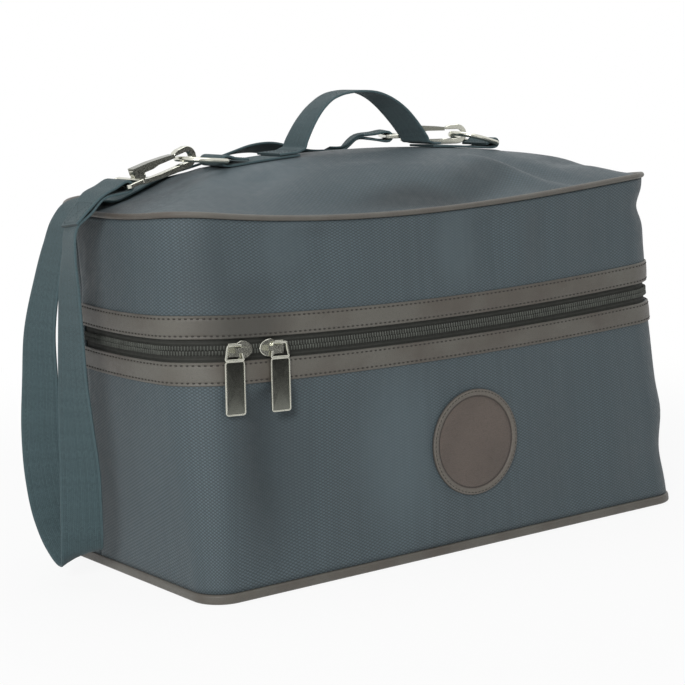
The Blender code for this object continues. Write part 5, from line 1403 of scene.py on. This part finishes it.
class BAG_OT_strap(bpy.types.Operator):
    """Shoulder strap of webbing, sewn to itself behind each hook's eye"""
    bl_idname = "bag.strap"
    bl_label = "Shoulder strap"

    def execute(self, context):
        strap, laid = ribbon("shoulder_strap_web", *strap_path(), STRAP_STEP)
        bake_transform(strap)
        dress(strap, None, "webbing", replaces=("shoulder_strap",))
        run = laid[3][-1]
        sewn("shoulder_strap", [sewn_box(laid, SEWN_START, STRAP_SEWN_LEFT),
                                sewn_box(laid, run - STRAP_SEWN_RIGHT, run - SEWN_START)])
        return {"FINISHED"}


# Metal

class BAG_OT_rings(bpy.types.Operator):
    """Two D-rings: round wire bent to a straight bar and a half round"""
    bl_idname = "bag.rings"
    bl_label = "D-rings"

    def execute(self, context):
        half, corner = RING_INSIDE / 2 + RING_WIRE, RING_CORNER
        bow = RING_DEPTH - half
        lower = [(0.0, y) for y in np.linspace(0, -half + corner, 8)[:-1]]
        lower += [(corner * (1 - math.cos(a)), -half + corner * (1 - math.sin(a)))
                  for a in np.radians([0, 22.5, 45, 67.5, 90])]
        lower += [(bow + half * math.cos(a), half * math.sin(a)) for a in np.radians(np.arange(-90, 0, 6))]
        flat = np.array(lower + [(RING_DEPTH, 0.0)] + [(u, -v) for u, v in reversed(lower[1:])])
        for side, bar_x, tilt in (("left", RING_LEFT, RING_TILT_LEFT), ("right", RING_RIGHT, RING_TILT_RIGHT)):
            bar, away = ring_frame(bar_x, tilt)
            curve = bar + flat[:, :1] * away - flat[:, 1:] * ACROSS
            square = np.tile(np.cross(ACROSS, away), (len(curve), 1))
            ring = sweep(f"d_ring_{side}_wire", curve, square, round_section(RING_WIRE), closed=True)
            dress(ring, f"ring_{side}", "nickel", replaces=(f"d_ring_{side}",))
        return {"FINISHED"}


class BAG_OT_hooks(bpy.types.Operator):
    """Snap hooks, gates, pins, swivel eyes and sliders keep their shapes and take plated finishes"""
    bl_idname = "bag.hooks"
    bl_label = "Hooks"

    def execute(self, context):
        for finish, starts in (("nickel", ("snap_hook", "swivel_eye", "zip_slider")),
                               ("dark_nickel", ("gate_lever", "gate_pin"))):
            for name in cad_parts:
                if name.startswith(starts):
                    plate(name, finish)
        return {"FINISHED"}


def tag_frames():
    """Each tag's origin and directions, on the leg at the tail of its slider's crown."""
    straight = 2 * (mix(LENGTH_BOTTOM, LENGTH_TOP, ZIP_HEIGHT / EDGE_HEIGHT) / 2 - CORNER_ZIP)
    for side, nose, t in (("left", 1, 2.0), ("right", -1, 2.0 + SLIDER_PITCH / straight)):
        here, along, up, outward = wall_axes(np.array(t), ZIP_HEIGHT, COIL_PROUD)
        level = SLIDER_CLEAR + SLIDER_PLATE + (CROWN_RISE - CROWN_PLATE) / 2
        origin = here + along * nose * (CROWN_TAIL + CROWN_LEG / 2) + outward * level
        yield side, origin, along, up, outward


class BAG_OT_tags(bpy.types.Operator):
    """Pull tags: a bright raised frame round a bare dark panel, hung on an open yoke"""
    bl_idname = "bag.tags"
    bl_label = "Pull tags"

    def execute(self, context):
        bottom, top = -TAG_YOKE - TAG_LENGTH, -TAG_YOKE
        low_half, high_half = (wide / 2 - YOKE_BAR / 2 for wide in (TAG_WIDTH, YOKE_TOP_WIDTH))
        low, high = top + YOKE_LAP, YOKE_CLEAR + YOKE_BAR / 2
        yoke = self.softened([(low_half, low), (high_half, high), (-high_half, high), (-low_half, low)], YOKE_BEND)
        loop = self.rounded_loop(TAG_WIDTH / 2 - TAG_RIM, bottom + TAG_RIM, top - TAG_RIM, TAG_CORNER - TAG_RIM)
        shares = np.linspace(0, 1, 9)
        middle = np.array([0.0, (bottom + top) / 2])
        spread = middle + (loop - middle)[None] * shares[:, None, None]
        face = (TAG_THICKNESS / 2 - TAG_SUNK + TAG_SWELL * (1 - shares ** 2))[:, None, None]
        for side, origin, along, up, outward in tag_frames():
            def lay(flat):
                return origin + flat[..., :1] * along + flat[..., 1:2] * up
            for part, curve, section in (
                    ("frame", loop, rounded_box(TAG_THICKNESS / 2, TAG_RIM, TAG_EDGE, 3, 1)),
                    ("yoke", yoke, rounded_box(YOKE_THICKNESS / 2, YOKE_BAR / 2, YOKE_EDGE, 3, 1))):
                square = np.tile(outward, (len(curve), 1))
                made = sweep(f"pull_tag_{side}_{part}", lay(curve), square, section, closed=True)
                dress(made, f"tag_{side}", "nickel", replaces=(f"pull_tag_{side}",) if part == "frame" else ())
            points = lay(spread) + face * outward
            rows = np.concatenate([points, points[::-1] - outward * (face[::-1] * 2)])
            panel = merged(grid(f"pull_tag_{side}_panel", rows, uv=np.concatenate([spread, spread[::-1]]),
                                round_j=True))
            dress(panel, f"tag_{side}", "tag_field")
        return {"FINISHED"}

    def rounded_loop(self, half, bottom, top, corner):
        """A closed outline of a tag: a rectangle with rounded corners."""
        points = []
        for right, high, start in ((1, 1, 0), (-1, 1, 90), (-1, -1, 180), (1, -1, 270)):
            for a in np.radians(start + np.linspace(0, 90, 7)):
                points.append((right * (half - corner) + corner * math.cos(a),
                               (top if high > 0 else bottom) - high * corner + corner * math.sin(a)))
        return self.filled(np.array(points))

    def softened(self, corners, radius):
        """Each corner of a closed outline replaced by a short curve."""
        points, corners = [], np.array(corners)
        for k, corner in enumerate(corners):
            before, after = corners[k - 1], corners[(k + 1) % len(corners)]
            first, second = corner + unit(before - corner) * radius, corner + unit(after - corner) * radius
            for s in np.linspace(0, 1, 5):
                points.append((1 - s) ** 2 * first + 2 * s * (1 - s) * corner + s * s * second)
        return self.filled(np.array(points))

    def filled(self, points, step=0.002):
        """Adds points where neighbours on a closed outline lie far apart."""
        after = np.roll(points, -1, axis=0)
        counts = np.maximum(1, np.round(np.linalg.norm(after - points, axis=1) / step).astype(int))
        return np.concatenate([mix(first, second, (np.arange(count) / count)[:, None])
                               for first, second, count in zip(points, after, counts)])


# Stage: the camera's turn, tilt and roll in degrees and its place; the lamps' places, aims and sizes; the
# floor's half size and depth; and the dark cards' sizes, turns and places

CAMERA = (36.81, 8.93, -1.425, (-0.89705, -1.1523, 0.3764))
KEY_LAMP, TOP_LAMP = ((-2.0, -1.6, 1.25), (0, 0, 0.12), 0.8), ((0.2, 0.3, 2.6), (0, 0, 0.25), 1.8)
FLOOR_HALF, FLOOR_DEPTH = 12, 0.0004
CARDS = (("side_card", 2.6, 1.3, (36.81, 4.0, 0.0, (-1.75, -2.35, 0.75))),
         ("low_card", 1.2, 0.5, (-36.9, -4.0, 0.0, (0.75, -1.0, 0.15))))
UNSEEN_BY = ("camera", "diffuse", "transmission", "volume_scatter", "shadow")


def camera_matrix(yaw, pitch, roll, place):
    """The camera looks along a level turn, a tilt and a roll, given in degrees."""
    yaw, pitch, roll = (math.radians(a) for a in (yaw, pitch, roll))
    ahead = np.array([math.sin(yaw) * math.cos(pitch), math.cos(yaw) * math.cos(pitch), -math.sin(pitch)])
    right = unit(np.cross(ahead, Z_AXIS))
    up = np.cross(right, ahead)
    turned_right = math.cos(roll) * right + math.sin(roll) * up
    turned_up = -math.sin(roll) * right + math.cos(roll) * up
    turn = np.column_stack([turned_right, turned_up, -ahead])
    return Matrix.Translation(place) @ Matrix(turn.tolist()).to_4x4()


def lamp(name, place, aim, size, power):
    data = bpy.data.lights.new(name, "AREA")
    data.energy, data.shape, data.size = power, "DISK", size
    made = bpy.data.objects.new(name, data)
    bpy.context.scene.collection.objects.link(made)
    back = unit(np.array(place) - np.array(aim))
    side = unit(np.cross([0, 0, 1], back))
    turn = np.column_stack([side, np.cross(back, side), back])
    made.matrix_world = Matrix.Translation(place) @ Matrix(turn.tolist()).to_4x4()
    return made


def seen_white(nodes, lit, kind, share=1.0):
    """White where the camera, a reflection or glass sees it, by a share, and its own light otherwise."""
    white = nodes.add(kind, {"Color": (1, 1, 1, 1), "Strength": 1.0}).outputs[0]
    path = nodes.add("LightPath", {}).outputs
    mirrored = nodes.maths("MAXIMUM", path["Is Glossy Ray"], path["Is Transmission Ray"])
    seen = nodes.maths("MAXIMUM", path["Is Camera Ray"], mirrored)
    return nodes.add("MixShader", {0: nodes.times(seen, share), 1: lit, 2: white}).outputs[0]


class BAG_OT_stage(bpy.types.Operator):
    """White floor that keeps the bag's shadow, soft lamps, and the camera at the photograph's angle"""
    bl_idname = "bag.stage"
    bl_label = "Stage"

    def execute(self, context):
        scene, studio = context.scene, context.scene.bag_studio
        data = bpy.data.cameras.new("camera")
        data.lens, data.sensor_width = studio.lens, 36.0
        data.clip_start, data.clip_end = 0.01, 50.0
        camera = bpy.data.objects.new("camera", data)
        scene.collection.objects.link(camera)
        camera.matrix_world = camera_matrix(*CAMERA)
        scene.camera = camera
        scene.view_settings.view_transform = "Standard"
        self.floor()
        lamp("key_lamp", *KEY_LAMP, studio.key)
        lamp("top_lamp", *TOP_LAMP, studio.top)
        self.cards()
        world = bpy.data.worlds.new("studio")
        world.use_nodes = True
        scene.world = world
        nodes = Nodes(world.node_tree)
        nodes.tree.nodes.clear()
        lit = nodes.add("Background", {"Color": (1, 1, 1, 1), "Strength": studio.sky}).outputs[0]
        nodes.add("OutputWorld", {"Surface": seen_white(nodes, lit, "Background")})
        return {"FINISHED"}

    def cloudy(self, name, size, low, high):
        """A plain grey finish with soft clouds in it."""
        plain = Finish(name, (1.0, 1.0, 1.0), Roughness=0.9)
        plain.between(plain.use("Clouds", plain.here, Size=size)["Broad"], low, high)
        plain.done()
        return plain

    def sheet(self, name, size, wide=1.0, tall=1.0, level=0.0):
        x, y = np.meshgrid(size * wide, size * tall, indexing="ij")
        return grid(name, np.stack([x, y, 0 * x + level], -1), size, size, closed=False)

    def floor(self):
        """A pale sheet that lies flat and is far larger than the view."""
        size = np.linspace(-FLOOR_HALF, FLOOR_HALF, 25)
        floor = flip_towards(self.sheet("floor", size, level=-FLOOR_DEPTH), 1)
        sheet = self.cloudy("floor", 0.6, 0.90, 0.92)
        share = sheet.ramp(sheet.length(sheet.here), 0.35, 0.9, 0.90, 1.0)
        sheet.feed(sheet.tree.nodes["Material Output"].inputs["Surface"],
                   seen_white(sheet, sheet.shader.outputs[0], "Emission", share))
        floor.data.materials.append(sheet.material)

    def cards(self):
        """Dark cards beside the camera and low before the bag that only reflections see: they draw the
        faces of the metal."""
        size = np.linspace(-0.5, 0.5, 3)
        dark = self.cloudy("dark_card", 0.4, 0.03, 0.05)
        for name, wide, tall, turn in CARDS:
            card = self.sheet(name, size, wide, tall)
            card.matrix_world = camera_matrix(*turn)
            card.data.materials.append(dark.material)
            for ray in UNSEEN_BY:
                setattr(card, "visible_" + ray, False)


PIECES = ("stage", "walls", "base", "top", "linings", "trims", "zip", "patch", "handle", "strap", "rings", "hooks",
          "tags")


class BAG_PT_panel(bpy.types.Panel):
    """Lists the bag's pieces, sizes and colours"""
    bl_idname = "BAG_PT_panel"
    bl_label = "Grooming Bag"
    bl_space_type = "VIEW_3D"
    bl_region_type = "UI"
    bl_category = "Grooming Bag"

    def draw(self, context):
        for piece in PIECES:
            self.layout.operator("bag." + piece)
        for held in (context.scene.bag_look, context.scene.bag_colours, context.scene.bag_studio):
            for key in held.bl_rna.properties.keys():
                if key not in ("rna_type", "name"):
                    self.layout.prop(held, key)


CLASSES = (BagLook, BagColours, BagStudio, BAG_OT_stage, BAG_OT_walls, BAG_OT_base, BAG_OT_top, BAG_OT_linings,
           BAG_OT_trims, BAG_OT_zip, BAG_OT_patch, BAG_OT_handle, BAG_OT_strap, BAG_OT_rings, BAG_OT_hooks,
           BAG_OT_tags, BAG_PT_panel)


def register():
    for kind in CLASSES:
        bpy.utils.register_class(kind)
    bpy.types.Scene.bag_look = bpy.props.PointerProperty(type=BagLook)
    bpy.types.Scene.bag_colours = bpy.props.PointerProperty(type=BagColours)
    bpy.types.Scene.bag_studio = bpy.props.PointerProperty(type=BagStudio)


def unregister():
    for held in ("bag_look", "bag_colours", "bag_studio"):
        delattr(bpy.types.Scene, held)
    for kind in reversed(CLASSES):
        bpy.utils.unregister_class(kind)


def main():
    register()
    for piece in PIECES:
        getattr(bpy.ops.bag, piece)()


if __name__ == "__main__":
    main()
